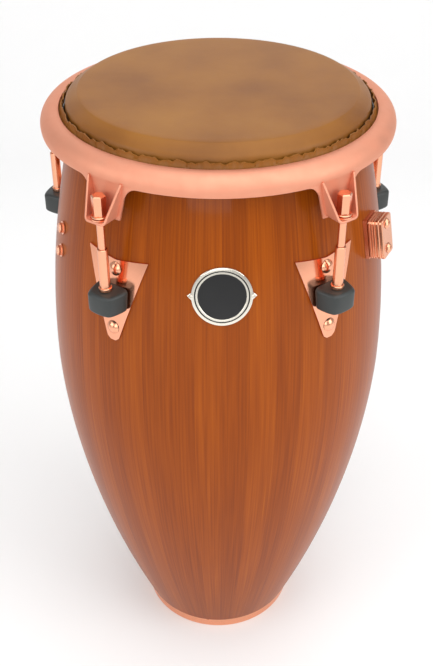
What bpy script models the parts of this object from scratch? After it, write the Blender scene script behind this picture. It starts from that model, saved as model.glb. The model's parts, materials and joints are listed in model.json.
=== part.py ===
"""Conga drum with top-tuning hardware, modelled in metres, +Z up.

The drum stands on z = 0 with its axis on the world Z axis, and its badge faces -Y.
An azimuth is counted round the axis from the front, towards +X.
Every lug is drawn once on a shared local frame, in which x is radial and points outwards,
y is tangential and z is up, and is then turned to its place round the shell.
"""
from math import atan, cos, pi, radians, sin, sqrt

import bmesh
import bpy
from mathutils import Matrix, Vector

# Overall sizes
HEIGHT = 0.762
HEAD_RADIUS = 0.1485
BELLY_RADIUS = 0.197
BELLY_HEIGHT = 0.440
FOOT_RADIUS = 0.0985
LOWER_FULLNESS = 1.75
UPPER_FULLNESS = 2.0
STAVE_THICKNESS = 0.0115
SEAT_GAP = 0.0003
HOLE_CLEARANCE = 0.0004

# Base ring
RING_HEIGHT = 0.0165
RING_THICKNESS = 0.003
RING_OUTER_RADIUS = 0.1018
NAIL_COUNT = 3
NAIL_AZIMUTH = radians(-9.7)
NAIL_SHANK_RADIUS = 0.0010
NAIL_HEAD_RADIUS = 0.0022
NAIL_LENGTH = 0.009

# Head and flesh hoop
SKIN_THICKNESS = 0.0018
SHOULDER_RADIUS = 0.1628
HOOP_RING_RADIUS = 0.1690
HOOP_DROP = 0.0271
HOOP_WIRE_RADIUS = 0.0044
CUT_EDGE_RISE = 0.0076

# Crown
CROWN_ROLL_CENTRE = 0.1745
CROWN_ROLL_DROP = 0.0325
CROWN_ROLL_RADIUS = 0.0155
CROWN_SHEET = 0.0028
CROWN_START_ANGLE = radians(107)
CROWN_END_ANGLE = radians(-17)
EAR_HALF_WIDTH = 0.0150
EAR_TOP_HALF_WIDTH = 0.0212
EAR_FILLET_END = 0.0380

# Lugs
LUG_COUNT = 5
LUG_FIRST_AZIMUTH = radians(36)
BOLT_CIRCLE_RADIUS = 0.200
THREAD_RADIUS = 0.0040
POCKET_FLOOR_DROP = 0.0740
POCKET_SHEET = 0.0025
POCKET_BOTTOM_HALF_WIDTH = 0.0135
POCKET_TOP_HALF_WIDTH = 0.0212
POCKET_HORN_DROP = 0.0345
POCKET_REACH = 0.0095
POCKET_CORNER = 0.0055
WASHER_RADIUS = 0.0092
WASHER_THICKNESS = 0.0014
FLANGE_RADIUS = 0.0086
FLANGE_THICKNESS = 0.0020
BOLT_ACROSS_FLATS = 0.0127
BOLT_HEAD_HEIGHT = 0.0212
BOLT_BELOW_FLOOR = 0.0560
RECEIVER_RADIUS = 0.0055
RECEIVER_TOP_DROP = 0.1050
RECEIVER_BORE_DEPTH = 0.0300
FERRULE_RADIUS = 0.0068
FERRULE_HEIGHT = 0.0042
NECK_RADIUS = 0.0047
FOOT_FLANGE_RADIUS = 0.0070
FOOT_FLANGE_HEIGHT = 0.0040

# Rubber protector and the tab that it covers
BLOCK_TOP_DROP = 0.1540
BLOCK_HEIGHT = 0.0235
BLOCK_FRONT_HALF_WIDTH = 0.0115
BLOCK_REAR_HALF_WIDTH = 0.0200
BLOCK_REACH = 0.0145
BLOCK_ROUNDING = 0.0050
TAB_DROP = 0.1615
TAB_THICKNESS = 0.0040
TAB_HALF_WIDTH = 0.0080
TAB_REACH = 0.0080

# Side plates
PLATE_TOP_DROP = 0.1220
PLATE_TIP_DROP = 0.2185
PLATE_WIDTH = 0.0755
PLATE_TIP_WIDTH = 0.0130
PLATE_NOTCH = 0.0050
PLATE_THICKNESS = 0.0020
CARRIAGE_UPPER_DROP = 0.1370
CARRIAGE_LOWER_DROP = 0.2035
CARRIAGE_SHANK_RADIUS = 0.0032
CARRIAGE_DOME_RADIUS = 0.0075
CARRIAGE_DOME_HEIGHT = 0.0036
STRAP_THICKNESS = 0.0025
STRAP_HALF_WIDTH = 0.0085
STRAP_OVERHANG = 0.0110
NUT_RADIUS = 0.0062
NUT_HEIGHT = 0.0050
THREAD_STANDOUT = 0.0015
STRAP_CURVE_ROOM = 0.0014

# Badge
BADGE_DROP = 0.1495
BADGE_RADIUS = 0.0311
BADGE_EAR_TIP = 0.0351
BADGE_EAR_HALF_WIDTH = 0.0038
BADGE_THICKNESS = 0.0014
BADGE_RIVET_OFFSET = 0.0311
RIVET_HEAD_RADIUS = 0.0019
RIVET_HEAD_HEIGHT = 0.0011
RIVET_SHANK_RADIUS = 0.0008
RIVET_LENGTH = 0.008

# Side screws for a second bracket
SIDE_SCREW_AZIMUTH = radians(-69)
SIDE_SCREW_DROPS = (0.1350, 0.1625)
SIDE_SCREW_WASHER_RADIUS = 0.0075
SIDE_SCREW_WASHER_THICKNESS = 0.0012
SIDE_SCREW_ACROSS_FLATS = 0.0095
SIDE_SCREW_HEAD_HEIGHT = 0.0042

# Accessory clamp bracket
CLAMP_AZIMUTH = radians(62)
CLAMP_DROP = 0.1360
CLAMP_HALF_WIDTH = 0.0140
CLAMP_HALF_HEIGHT = 0.0222
CLAMP_CORNER = 0.0030
CLAMP_SADDLE_THICKNESS = 0.0040
CLAMP_FIXED_THICKNESS = 0.0080
CLAMP_MOVING_THICKNESS = 0.0082
CLAMP_GROOVE = 0.0007
CLAMP_BOLT_SPACING = 0.0290
CLAMP_BOLT_RADIUS = 0.0032
CLAMP_DOME_RADIUS = 0.0062
CLAMP_DOME_HEIGHT = 0.0034
CLAMP_BOLT_TRAVEL = 0.0060

# Facet counts
SHELL_SEGMENTS = 40
HEAD_SEGMENTS = 40
WRAP_STEPS = 6
ROD_SIDES = 10
HOLE_SIDES = 8
SHARP_ANGLE = radians(35)

# Colours as linear RGB, with roughness and metallic value
WOOD = ("varnished_oak", (0.46, 0.15, 0.045), 0.25, 0.0)
HIDE = ("rawhide", (0.42, 0.23, 0.09), 0.5, 0.0)
ROSE_STEEL = ("rose_gold_steel", (0.84, 0.44, 0.32), 0.22, 1.0)
BARE_STEEL = ("zinc_steel", (0.55, 0.55, 0.56), 0.35, 1.0)
RUBBER = ("black_rubber", (0.025, 0.027, 0.026), 0.45, 0.0)
BADGE_METAL = ("badge_nickel", (0.75, 0.72, 0.66), 0.3, 1.0)


# Scene helpers

def clear_scene():
    """Remove every object, so that the drum is alone in the file."""
    for item in list(bpy.data.objects):
        bpy.data.objects.remove(item)


def material(finish):
    """Return the Principled material of a finish, made on its first use."""
    name, colour, roughness, metallic = finish
    found = bpy.data.materials.get(name)
    if found:
        return found
    made = bpy.data.materials.new(name)
    made.use_nodes = True
    shader = made.node_tree.nodes["Principled BSDF"]
    shader.inputs["Base Color"].default_value = (*colour, 1.0)
    shader.inputs["Roughness"].default_value = roughness
    shader.inputs["Metallic"].default_value = metallic
    return made


def add_mesh(name, mesh, finish, matrix=None):
    """Add an object that shows a mesh with its own finish at a place."""
    item = bpy.data.objects.new(name, mesh)
    bpy.context.collection.objects.link(item)
    if not mesh.materials:
        mesh.materials.append(material(finish))
    item.matrix_world = matrix or Matrix.Identity(4)
    return item


def to_mesh(name, shape):
    """Turn a bmesh into a mesh with outward faces and smooth round sides."""
    bmesh.ops.recalc_face_normals(shape, faces=shape.faces)
    mesh = bpy.data.meshes.new(name)
    shape.to_mesh(mesh)
    shape.free()
    mesh.shade_smooth()
    mesh.set_sharp_from_angle(angle=SHARP_ANGLE)
    return mesh


def add_boolean(item, tool, operation):
    """Cut or join an object with a hidden tool object."""
    step = item.modifiers.new(tool.name, "BOOLEAN")
    step.operation = operation
    step.solver = "EXACT"
    step.object = tool
    tool.hide_render = True
    tool.display_type = "WIRE"


def finished_mesh(item):
    """Return the object's mesh with its modifiers applied, and remove it and its tools."""
    graph = bpy.context.evaluated_depsgraph_get()
    mesh = bpy.data.meshes.new_from_object(item.evaluated_get(graph))
    mesh.shade_smooth()
    mesh.set_sharp_from_angle(angle=SHARP_ANGLE)
    for step in item.modifiers:
        bpy.data.objects.remove(step.object)
    bpy.data.objects.remove(item)
    return mesh


def cut_mesh(name, mesh, finish, tools):
    """Return a mesh after its cuts and joins, given as pairs of tool mesh and operation."""
    item = add_mesh(name, mesh, finish)
    for number, (tool_mesh, operation) in enumerate(tools):
        add_boolean(item, add_mesh(f"{name}_tool_{number}", tool_mesh, finish), operation)
    return finished_mesh(item)


# Shape helpers

def lathe(name, profile, segments):
    """Turn a closed (radius, height) outline round Z into a closed solid."""
    shape = bmesh.new()
    rings = []
    for radius, height in profile:
        if radius < 1e-6:
            rings.append([shape.verts.new((0, 0, height))] * segments)
        else:
            turn = [2 * pi * k / segments for k in range(segments)]
            rings.append([shape.verts.new((radius * cos(a), radius * sin(a), height)) for a in turn])
    for first, second in zip(rings, rings[1:] + rings[:1]):
        for k in range(segments):
            corners = [first[k], first[(k + 1) % segments], second[(k + 1) % segments], second[k]]
            corners = list(dict.fromkeys(corners))
            if len(corners) > 2:
                shape.faces.new(corners)
    return to_mesh(name, shape)


def arc(centre, radius, start, end, steps):
    """Return points along an arc as (radius, height) pairs, both ends included."""
    turn = [start + (end - start) * k / steps for k in range(steps + 1)]
    return [(centre[0] + radius * cos(a), centre[1] + radius * sin(a)) for a in turn]


def stack(name, loops):
    """Join equal closed loops of points into a solid with flat ends."""
    shape = bmesh.new()
    rings = [[shape.verts.new(point) for point in loop] for loop in loops]
    for first, second in zip(rings, rings[1:]):
        for k in range(len(first)):
            after = (k + 1) % len(first)
            shape.faces.new((first[k], first[after], second[after], second[k]))
    shape.faces.new(rings[0])
    shape.faces.new(rings[-1])
    return to_mesh(name, shape)


def loft(name, grid, closed):
    """Skin a grid of points, front and back, given as rows of (front, back) pairs.

    The rows join end to end when closed; every other edge gets a rim face.
    """
    shape = bmesh.new()
    front = [[shape.verts.new(pair[0]) for pair in row] for row in grid]
    back = [[shape.verts.new(pair[1]) for pair in row] for row in grid]
    rows, columns = len(grid), len(grid[0])
    spans = range(rows) if closed else range(rows - 1)
    for i in spans:
        j = (i + 1) % rows
        for k in range(columns - 1):
            shape.faces.new((front[i][k], front[j][k], front[j][k + 1], front[i][k + 1]))
            shape.faces.new((back[i][k], back[i][k + 1], back[j][k + 1], back[j][k]))
        for k in (0, columns - 1):
            shape.faces.new((front[i][k], back[i][k], back[j][k], front[j][k]))
    if not closed:
        for i in (0, rows - 1):
            for k in range(columns - 1):
                shape.faces.new((front[i][k], front[i][k + 1], back[i][k + 1], back[i][k]))
    return to_mesh(name, shape)


def prism(radius, low, high, sides, turn=0.0):
    """Return two loops of a regular prism along local z."""
    angles = [turn + 2 * pi * k / sides for k in range(sides)]
    return [[(radius * cos(a), radius * sin(a), z) for a in angles] for z in (low, high)]


def rounded_rectangle(half_width, half_height, corner, steps=2):
    """Return the outline of a rounded rectangle, counterclockwise from its right side."""
    outline = []
    for number, (sx, sy) in enumerate(((1, 1), (-1, 1), (-1, -1), (1, -1))):
        centre = (sx * (half_width - corner), sy * (half_height - corner))
        outline += arc(centre, corner, number * pi / 2, (number + 1) * pi / 2, steps)
    return outline


def polar(azimuth, radius, height):
    """Return the world point at an azimuth from the front, a radius and a height."""
    return Vector((radius * sin(azimuth), -radius * cos(azimuth), height))


def turned(azimuth):
    """Return the matrix that turns the local frame, x outwards, to an azimuth."""
    return Matrix.Rotation(azimuth - pi / 2, 4, "Z")


# Shell outline

def shell_radius(height):
    """Radius of the shell's outside: one power curve above the belly and one below."""
    if height > BELLY_HEIGHT:
        share = (height - BELLY_HEIGHT) / (HEIGHT - BELLY_HEIGHT)
        return BELLY_RADIUS - (BELLY_RADIUS - HEAD_RADIUS) * share ** UPPER_FULLNESS
    share = (BELLY_HEIGHT - height) / BELLY_HEIGHT
    return BELLY_RADIUS - (BELLY_RADIUS - FOOT_RADIUS) * share ** LOWER_FULLNESS


def shell_slope(height):
    """Angle by which the shell's outside leans inwards as it rises."""
    step = 0.001
    return atan((shell_radius(height - step) - shell_radius(height + step)) / (2 * step))


def surface_frame(azimuth, height, offset=0.0):
    """Return the frame on the shell's outside: x along its normal, y tangential."""
    lean = Matrix.Rotation(-shell_slope(height), 4, "Y")
    spot = Matrix.Translation(polar(azimuth, shell_radius(height), height))
    return spot @ turned(azimuth) @ lean @ Matrix.Translation((offset, 0, 0))


def on_shell(arc_length, height, offset):
    """Return the local point at an arc length and height, offset from the shell's outside."""
    radius = shell_radius(height)
    angle = arc_length / radius
    return Vector(((radius + offset) * cos(angle), (radius + offset) * sin(angle), height))


def radial_holes(name, places, radius, reach_in, reach_out):
    """Return one mesh of round cutters through the shell's wall at frames."""
    shape = bmesh.new()
    for frame in places:
        along = frame @ Matrix.Translation(((reach_out - reach_in) / 2, 0, 0)) @ Matrix.Rotation(pi / 2, 4, "Y")
        bmesh.ops.create_cone(
            shape, cap_ends=True, segments=HOLE_SIDES, radius1=radius, radius2=radius,
            depth=reach_in + reach_out, matrix=along)
    return to_mesh(name, shape)


# Levels shared by the pieces that seat on one another
HOOP_HEIGHT = HEIGHT - HOOP_DROP
WRAP_RADIUS = HOOP_WIRE_RADIUS + SEAT_GAP + SKIN_THICKNESS
ROLL_CENTRE = (CROWN_ROLL_CENTRE, HEIGHT - CROWN_ROLL_DROP)
EAR_RADIUS = CROWN_ROLL_CENTRE + CROWN_ROLL_RADIUS * cos(CROWN_END_ANGLE)
FLOOR_BOTTOM = HEIGHT - POCKET_FLOOR_DROP
FLOOR_TOP = FLOOR_BOTTOM + POCKET_SHEET
WASHER_BOTTOM = FLOOR_TOP + SEAT_GAP
WASHER_TOP = WASHER_BOTTOM + WASHER_THICKNESS
FLANGE_BOTTOM = WASHER_TOP + SEAT_GAP
FLANGE_TOP = FLANGE_BOTTOM + FLANGE_THICKNESS
BLOCK_TOP = HEIGHT - BLOCK_TOP_DROP
BLOCK_BOTTOM = BLOCK_TOP - BLOCK_HEIGHT
TAB_TOP = HEIGHT - TAB_DROP
TAB_BOTTOM = TAB_TOP - TAB_THICKNESS
LUG_AZIMUTHS = [LUG_FIRST_AZIMUTH + 2 * pi * k / LUG_COUNT for k in range(LUG_COUNT)]
CARRIAGE_DROPS = (CARRIAGE_UPPER_DROP, CARRIAGE_LOWER_DROP)
CLAMP_HEIGHT = HEIGHT - CLAMP_DROP
CLAMP_BOLT_OFFSETS = (CLAMP_BOLT_SPACING / 2, -CLAMP_BOLT_SPACING / 2)


# Shell, ring and head

def shell_mesh():
    """The stave shell: curved walls, rounded bearing edge and a rabbet for the base ring."""
    rabbet = RING_OUTER_RADIUS - RING_THICKNESS - SEAT_GAP
    top = HEIGHT - SKIN_THICKNESS - SEAT_GAP
    stations = 14
    low, high = RING_HEIGHT + SEAT_GAP, HEIGHT - 0.010
    heights = [low + (high - low) * k / stations for k in range(stations + 1)]
    outer = [(rabbet, 2 * SEAT_GAP), (rabbet, low)] + [(shell_radius(z), z) for z in heights]
    edge = shell_radius(high)
    bearing = [
        (edge - 0.0015, top - 0.0035), (edge - 0.0045, top - 0.0010), (edge - 0.0080, top), (edge - 0.0095, top)]
    inner_heights = heights[::-1] + [2 * SEAT_GAP]
    foot_inner = rabbet - STAVE_THICKNESS
    flat = cos(pi / SHELL_SEGMENTS)
    inner = [(max(shell_radius(z) - STAVE_THICKNESS, foot_inner) / flat, z) for z in inner_heights]
    return lathe("shell", outer + bearing + inner, SHELL_SEGMENTS)


def shell_hole_frames():
    """Frames of every hole through the wall, grouped by its radius."""
    carriage = [
        surface_frame(azimuth, HEIGHT - drop) for azimuth in LUG_AZIMUTHS for drop in CARRIAGE_DROPS]
    middle, half = sum(SIDE_SCREW_DROPS) / 2, (SIDE_SCREW_DROPS[1] - SIDE_SCREW_DROPS[0]) / 2
    side = [
        surface_frame(SIDE_SCREW_AZIMUTH, HEIGHT - middle) @ Matrix.Translation((0, 0, offset))
        for offset in (half, -half)]
    clamp = [
        surface_frame(CLAMP_AZIMUTH, CLAMP_HEIGHT) @ Matrix.Translation((0, 0, offset))
        for offset in CLAMP_BOLT_OFFSETS]
    return carriage + side + clamp


def badge_rivet_frames():
    """Frames of the badge's two rivets on the shell."""
    height = HEIGHT - BADGE_DROP
    turn = BADGE_RIVET_OFFSET / shell_radius(height)
    return [surface_frame(side * turn, height) for side in (-1, 1)]


def nail_azimuths():
    """Azimuths of the nails that hold the base ring."""
    return [NAIL_AZIMUTH + 2 * pi * k / NAIL_COUNT for k in range(NAIL_COUNT)]


def nail_frame(azimuth):
    """Frame on the base ring's outside at a nail, x outwards."""
    return Matrix.Translation(polar(azimuth, RING_OUTER_RADIUS, RING_HEIGHT * 0.68)) @ turned(azimuth)


def add_shell():
    """Add the shell with its drilled holes."""
    wide = radial_holes(
        "wide_holes", shell_hole_frames(), CARRIAGE_SHANK_RADIUS + HOLE_CLEARANCE,
        STAVE_THICKNESS + 0.006, 0.004)
    fine = radial_holes(
        "rivet_holes", badge_rivet_frames(), RIVET_SHANK_RADIUS + HOLE_CLEARANCE,
        RIVET_LENGTH + SEAT_GAP, 0.002)
    nails = radial_holes(
        "nail_holes", [nail_frame(a) for a in nail_azimuths()], NAIL_SHANK_RADIUS + HOLE_CLEARANCE,
        NAIL_LENGTH + SEAT_GAP, 0.002)
    tools = [(wide, "DIFFERENCE"), (fine, "DIFFERENCE"), (nails, "DIFFERENCE")]
    add_mesh("shell", cut_mesh("shell", shell_mesh(), WOOD, tools), WOOD)


def add_base_ring():
    """Add the band round the foot and the nails through it."""
    inner = RING_OUTER_RADIUS - RING_THICKNESS
    ease = RING_THICKNESS / 4
    profile = [
        (RING_OUTER_RADIUS - ease, 0), (RING_OUTER_RADIUS, ease), (RING_OUTER_RADIUS, RING_HEIGHT - ease),
        (RING_OUTER_RADIUS - ease, RING_HEIGHT), (inner, RING_HEIGHT), (inner, 0)]
    holes = radial_holes(
        "ring_holes", [nail_frame(a) for a in nail_azimuths()], NAIL_SHANK_RADIUS + HOLE_CLEARANCE,
        NAIL_LENGTH, 0.002)
    ring = cut_mesh("base_ring", lathe("ring", profile, SHELL_SEGMENTS), ROSE_STEEL, [(holes, "DIFFERENCE")])
    add_mesh("base_ring", ring, ROSE_STEEL)
    nail = dome_pin("nail", NAIL_HEAD_RADIUS, NAIL_HEAD_RADIUS * 0.4, NAIL_SHANK_RADIUS, NAIL_LENGTH, 8)
    for number, azimuth in enumerate(nail_azimuths(), 1):
        seat = nail_frame(azimuth) @ Matrix.Translation((SEAT_GAP, 0, 0))
        add_mesh(f"base_ring_nail_{number}", nail, ROSE_STEEL, seat)


def add_head():
    """Add the mounted hide, wrapped round its flesh hoop, and the hoop inside the wrap."""
    centre = (HOOP_RING_RADIUS, HOOP_HEIGHT)
    inside = WRAP_RADIUS - SKIN_THICKNESS
    fold = HEAD_RADIUS
    lip = HOOP_RING_RADIUS - 0.0030
    outer = [
        (0, HEIGHT), (fold - 0.0045, HEIGHT), (fold, HEIGHT - 0.0007), (fold + 0.0030, HEIGHT - 0.0024),
        (SHOULDER_RADIUS - 0.0026, HEIGHT - 0.0072), (SHOULDER_RADIUS, HEIGHT - 0.0110)]
    outer += arc(centre, WRAP_RADIUS, pi, 2.5 * pi, WRAP_STEPS)
    outer += [(lip + 0.0004, HOOP_HEIGHT + WRAP_RADIUS + CUT_EDGE_RISE)]
    inner = [(lip - 0.0008, HOOP_HEIGHT + WRAP_RADIUS + CUT_EDGE_RISE)]
    inner += [(lip - 0.0006, HOOP_HEIGHT + inside + 0.0006)]
    inner += arc(centre, inside, 2.5 * pi, pi, WRAP_STEPS)
    wall = SHOULDER_RADIUS - SKIN_THICKNESS
    inner += [
        (wall, HEIGHT - 0.0118), (wall - 0.0020, HEIGHT - 0.0084), (fold + 0.0026, HEIGHT - 0.0044),
        (fold - 0.0010, HEIGHT - 0.0024), (fold - 0.0050, HEIGHT - SKIN_THICKNESS), (0, HEIGHT - SKIN_THICKNESS)]
    add_mesh("head_skin", lathe("head_skin", outer + inner, HEAD_SEGMENTS), HIDE)
    wire = arc(centre, HOOP_WIRE_RADIUS, 0, 2 * pi, 8)[:-1]
    add_mesh("flesh_hoop", lathe("flesh_hoop", wire, HEAD_SEGMENTS), BARE_STEEL)


# Crown

def skirt_height(arc_length):
    """Height of the crown's lower edge at an arc length from the nearest lug.

    The edge is level between lugs, dips in a round fillet and runs steeply down the ear.
    """
    away = abs(arc_length)
    level = ROLL_CENTRE[1] + CROWN_ROLL_RADIUS * sin(CROWN_END_ANGLE)
    fillet_low = level - 0.0120
    if away <= EAR_HALF_WIDTH:
        return FLOOR_BOTTOM
    if away <= EAR_TOP_HALF_WIDTH:
        share = (away - EAR_HALF_WIDTH) / (EAR_TOP_HALF_WIDTH - EAR_HALF_WIDTH)
        return FLOOR_BOTTOM + (fillet_low - FLOOR_BOTTOM) * share
    share = min((away - EAR_TOP_HALF_WIDTH) / (EAR_FILLET_END - EAR_TOP_HALF_WIDTH), 1.0)
    return level - (level - fillet_low) * (1 - share) ** 3


def crown_columns():
    """Azimuths of the crown's columns, close together round each ear."""
    half = [0.0, EAR_HALF_WIDTH, 0.0181, EAR_TOP_HALF_WIDTH, 0.0235, 0.0280, EAR_FILLET_END]
    pitch = 2 * pi / LUG_COUNT
    reach = EAR_FILLET_END / EAR_RADIUS
    between = 6
    columns = []
    for azimuth in LUG_AZIMUTHS:
        columns += [azimuth - s / EAR_RADIUS for s in half[:0:-1]]
        columns += [azimuth + s / EAR_RADIUS for s in half]
        gap = pitch - 2 * reach
        columns += [azimuth + reach + gap * k / between for k in range(1, between)]
    return columns


def crown_band_mesh():
    """The rolled band with its skirt drawn down into an ear at every lug."""
    pitch = 2 * pi / LUG_COUNT
    roll_steps = 6
    turns = [
        CROWN_START_ANGLE + (CROWN_END_ANGLE - CROWN_START_ANGLE) * k / roll_steps
        for k in range(roll_steps + 1)]
    inner_roll = CROWN_ROLL_RADIUS - CROWN_SHEET
    grid = []
    for azimuth in crown_columns():
        offset = (azimuth - LUG_FIRST_AZIMUTH + pitch / 2) % pitch - pitch / 2
        low = skirt_height(offset * EAR_RADIUS)
        turn = azimuth - pi / 2
        row = []
        for angle in turns:
            front = (ROLL_CENTRE[0] + CROWN_ROLL_RADIUS * cos(angle), ROLL_CENTRE[1] + CROWN_ROLL_RADIUS * sin(angle))
            back = (ROLL_CENTRE[0] + inner_roll * cos(angle), ROLL_CENTRE[1] + inner_roll * sin(angle))
            row.append((front, back))
        edge = row[-1][0][1]
        if low < edge - 1e-5:
            row.append(((EAR_RADIUS, (low + edge) / 2), (EAR_RADIUS - CROWN_SHEET, (low + edge) / 2)))
            row.append(((EAR_RADIUS, low), (EAR_RADIUS - CROWN_SHEET, low)))
        else:
            hem = 0.0004
            row.append(((EAR_RADIUS, edge - hem / 2), (EAR_RADIUS - CROWN_SHEET, edge - hem / 2)))
            row.append(((EAR_RADIUS, edge - hem), (EAR_RADIUS - CROWN_SHEET, edge - hem)))
        grid.append([
            tuple(Vector((r * cos(turn), r * sin(turn), z)) for r, z in pair) for pair in row])
    return loft("crown", grid, closed=True)


def pocket_path():
    """Points (tangential, height) down one cheek, across the floor and up the other, with normals."""
    horn = HEIGHT - POCKET_HORN_DROP
    corner = (POCKET_BOTTOM_HALF_WIDTH - POCKET_CORNER, FLOOR_BOTTOM + POCKET_CORNER)
    rise = atan((POCKET_TOP_HALF_WIDTH - POCKET_BOTTOM_HALF_WIDTH) / (horn - FLOOR_BOTTOM))
    steps = 3
    right = []
    for k in range(steps + 1):
        angle = -pi / 2 + (pi / 2 - rise) * k / steps
        right.append((corner, angle))
    points = [((c[0] + POCKET_CORNER * cos(a), c[1] + POCKET_CORNER * sin(a)), (cos(a), sin(a))) for c, a in right]
    normal = points[-1][1]
    points.append(((POCKET_TOP_HALF_WIDTH, horn), normal))
    mirrored = [((-p[0], p[1]), (-n[0], n[1])) for p, n in points]
    return mirrored[::-1] + points


def pocket_mesh():
    """The bent strip welded on an ear: two cheeks and the floor that the bolt head pulls on."""
    horn = HEIGHT - POCKET_HORN_DROP
    back = EAR_RADIUS - 0.7 * CROWN_SHEET
    front_low = BOLT_CIRCLE_RADIUS + POCKET_REACH
    front_high = EAR_RADIUS + 0.0012
    loops = []
    for (y, z), (ny, nz) in pocket_path():
        share = (z - FLOOR_BOTTOM) / (horn - FLOOR_BOTTOM)
        front = front_low + (front_high - front_low) * share
        inside = (y - ny * POCKET_SHEET, z - nz * POCKET_SHEET)
        loops.append([(back, y, z), (front, y, z), (front, *inside), (back, *inside)])
    return stack("pocket", loops)


def bolt_hole_mesh(radius, low, high):
    """A round cutter on the bolt's axis in the local frame."""
    loops = prism(radius, low, high, HOLE_SIDES)
    return stack("bolt_hole", [[(x + BOLT_CIRCLE_RADIUS, y, z) for x, y, z in loop] for loop in loops])


def add_crown():
    """Add the crown: the band with a pocket joined on, and a bolt hole cut, at every lug."""
    item = add_mesh("crown", crown_band_mesh(), ROSE_STEEL)
    radius = THREAD_RADIUS + HOLE_CLEARANCE
    for number, azimuth in enumerate(LUG_AZIMUTHS, 1):
        pocket = add_mesh(f"pocket_{number}", pocket_mesh(), ROSE_STEEL, turned(azimuth))
        add_boolean(item, pocket, "UNION")
    for number, azimuth in enumerate(LUG_AZIMUTHS, 1):
        hole = add_mesh(
            f"pocket_hole_{number}", bolt_hole_mesh(radius, FLOOR_BOTTOM - 0.003, FLOOR_TOP + 0.003),
            ROSE_STEEL, turned(azimuth))
        add_boolean(item, hole, "DIFFERENCE")


# Tension hardware

def dome_pin(name, dome_radius, dome_height, shank_radius, length, sides):
    """A domed head on a shank that points along -x from the seat at the origin."""
    sphere = (dome_radius ** 2 + dome_height ** 2) / (2 * dome_height)
    stations = 3
    profile = []
    for k in range(stations):
        height = dome_height * k / stations
        profile.append((sqrt(sphere ** 2 - (height + sphere - dome_height) ** 2), height))
    loops = [[(shank_radius, -length)], [(shank_radius, 0.0)], *[[p] for p in profile]]
    rings = []
    for ((radius, along),) in loops:
        turn = [2 * pi * k / sides for k in range(sides)]
        rings.append([(along, radius * cos(a), radius * sin(a)) for a in turn])
    top = profile[-1][0] * 0.35
    rings.append([(dome_height, top * cos(2 * pi * k / sides), top * sin(2 * pi * k / sides)) for k in range(sides)])
    return stack(name, rings)


def tension_bolt_mesh():
    """A tall hexagon head on a flange and a threaded shank, about its own axis."""
    corner = BOLT_ACROSS_FLATS / sqrt(3)
    top = FLANGE_TOP + BOLT_HEAD_HEIGHT
    bevel = 0.0012
    shank_end = FLOOR_BOTTOM - BOLT_BELOW_FLOOR
    shank = stack("shank", prism(THREAD_RADIUS, shank_end, FLANGE_BOTTOM + 0.0005, ROD_SIDES))
    flange = stack("flange", prism(FLANGE_RADIUS, FLANGE_BOTTOM, FLANGE_TOP, ROD_SIDES))
    low, high = prism(corner, FLANGE_TOP - 0.0005, top - bevel, 6)
    crest = prism(corner * 0.84, top, top, 6)[0]
    head = stack("hexagon", [low, high, crest])
    return cut_mesh("tension_bolt", head, ROSE_STEEL, [(flange, "UNION"), (shank, "UNION")])


def tube_profile(outer, inner, low, high):
    """Outline of a plain tube."""
    return [(outer, low), (outer, high), (inner, high), (inner, low)]


def receiver_mesh():
    """The threaded receiver: a long tube, a ferrule, a neck and a foot under the tab."""
    top = HEIGHT - RECEIVER_TOP_DROP
    ferrule_low = BLOCK_TOP + SEAT_GAP
    ferrule_high = ferrule_low + FERRULE_HEIGHT
    foot_high = TAB_BOTTOM - SEAT_GAP
    foot_low = foot_high - FOOT_FLANGE_HEIGHT
    bore = THREAD_RADIUS + HOLE_CLEARANCE
    floor = top - RECEIVER_BORE_DEPTH
    ease = 0.0006
    profile = [
        (0, foot_low), (FOOT_FLANGE_RADIUS, foot_low), (FOOT_FLANGE_RADIUS, foot_high), (NECK_RADIUS, foot_high),
        (NECK_RADIUS, ferrule_low), (FERRULE_RADIUS - ease, ferrule_low), (FERRULE_RADIUS, ferrule_low + ease),
        (FERRULE_RADIUS, ferrule_high - ease), (FERRULE_RADIUS - ease, ferrule_high),
        (RECEIVER_RADIUS, ferrule_high), (RECEIVER_RADIUS, top - ease), (RECEIVER_RADIUS - ease, top),
        (bore, top), (bore, floor), (0, floor)]
    return lathe("receiver", profile, ROD_SIDES)


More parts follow.
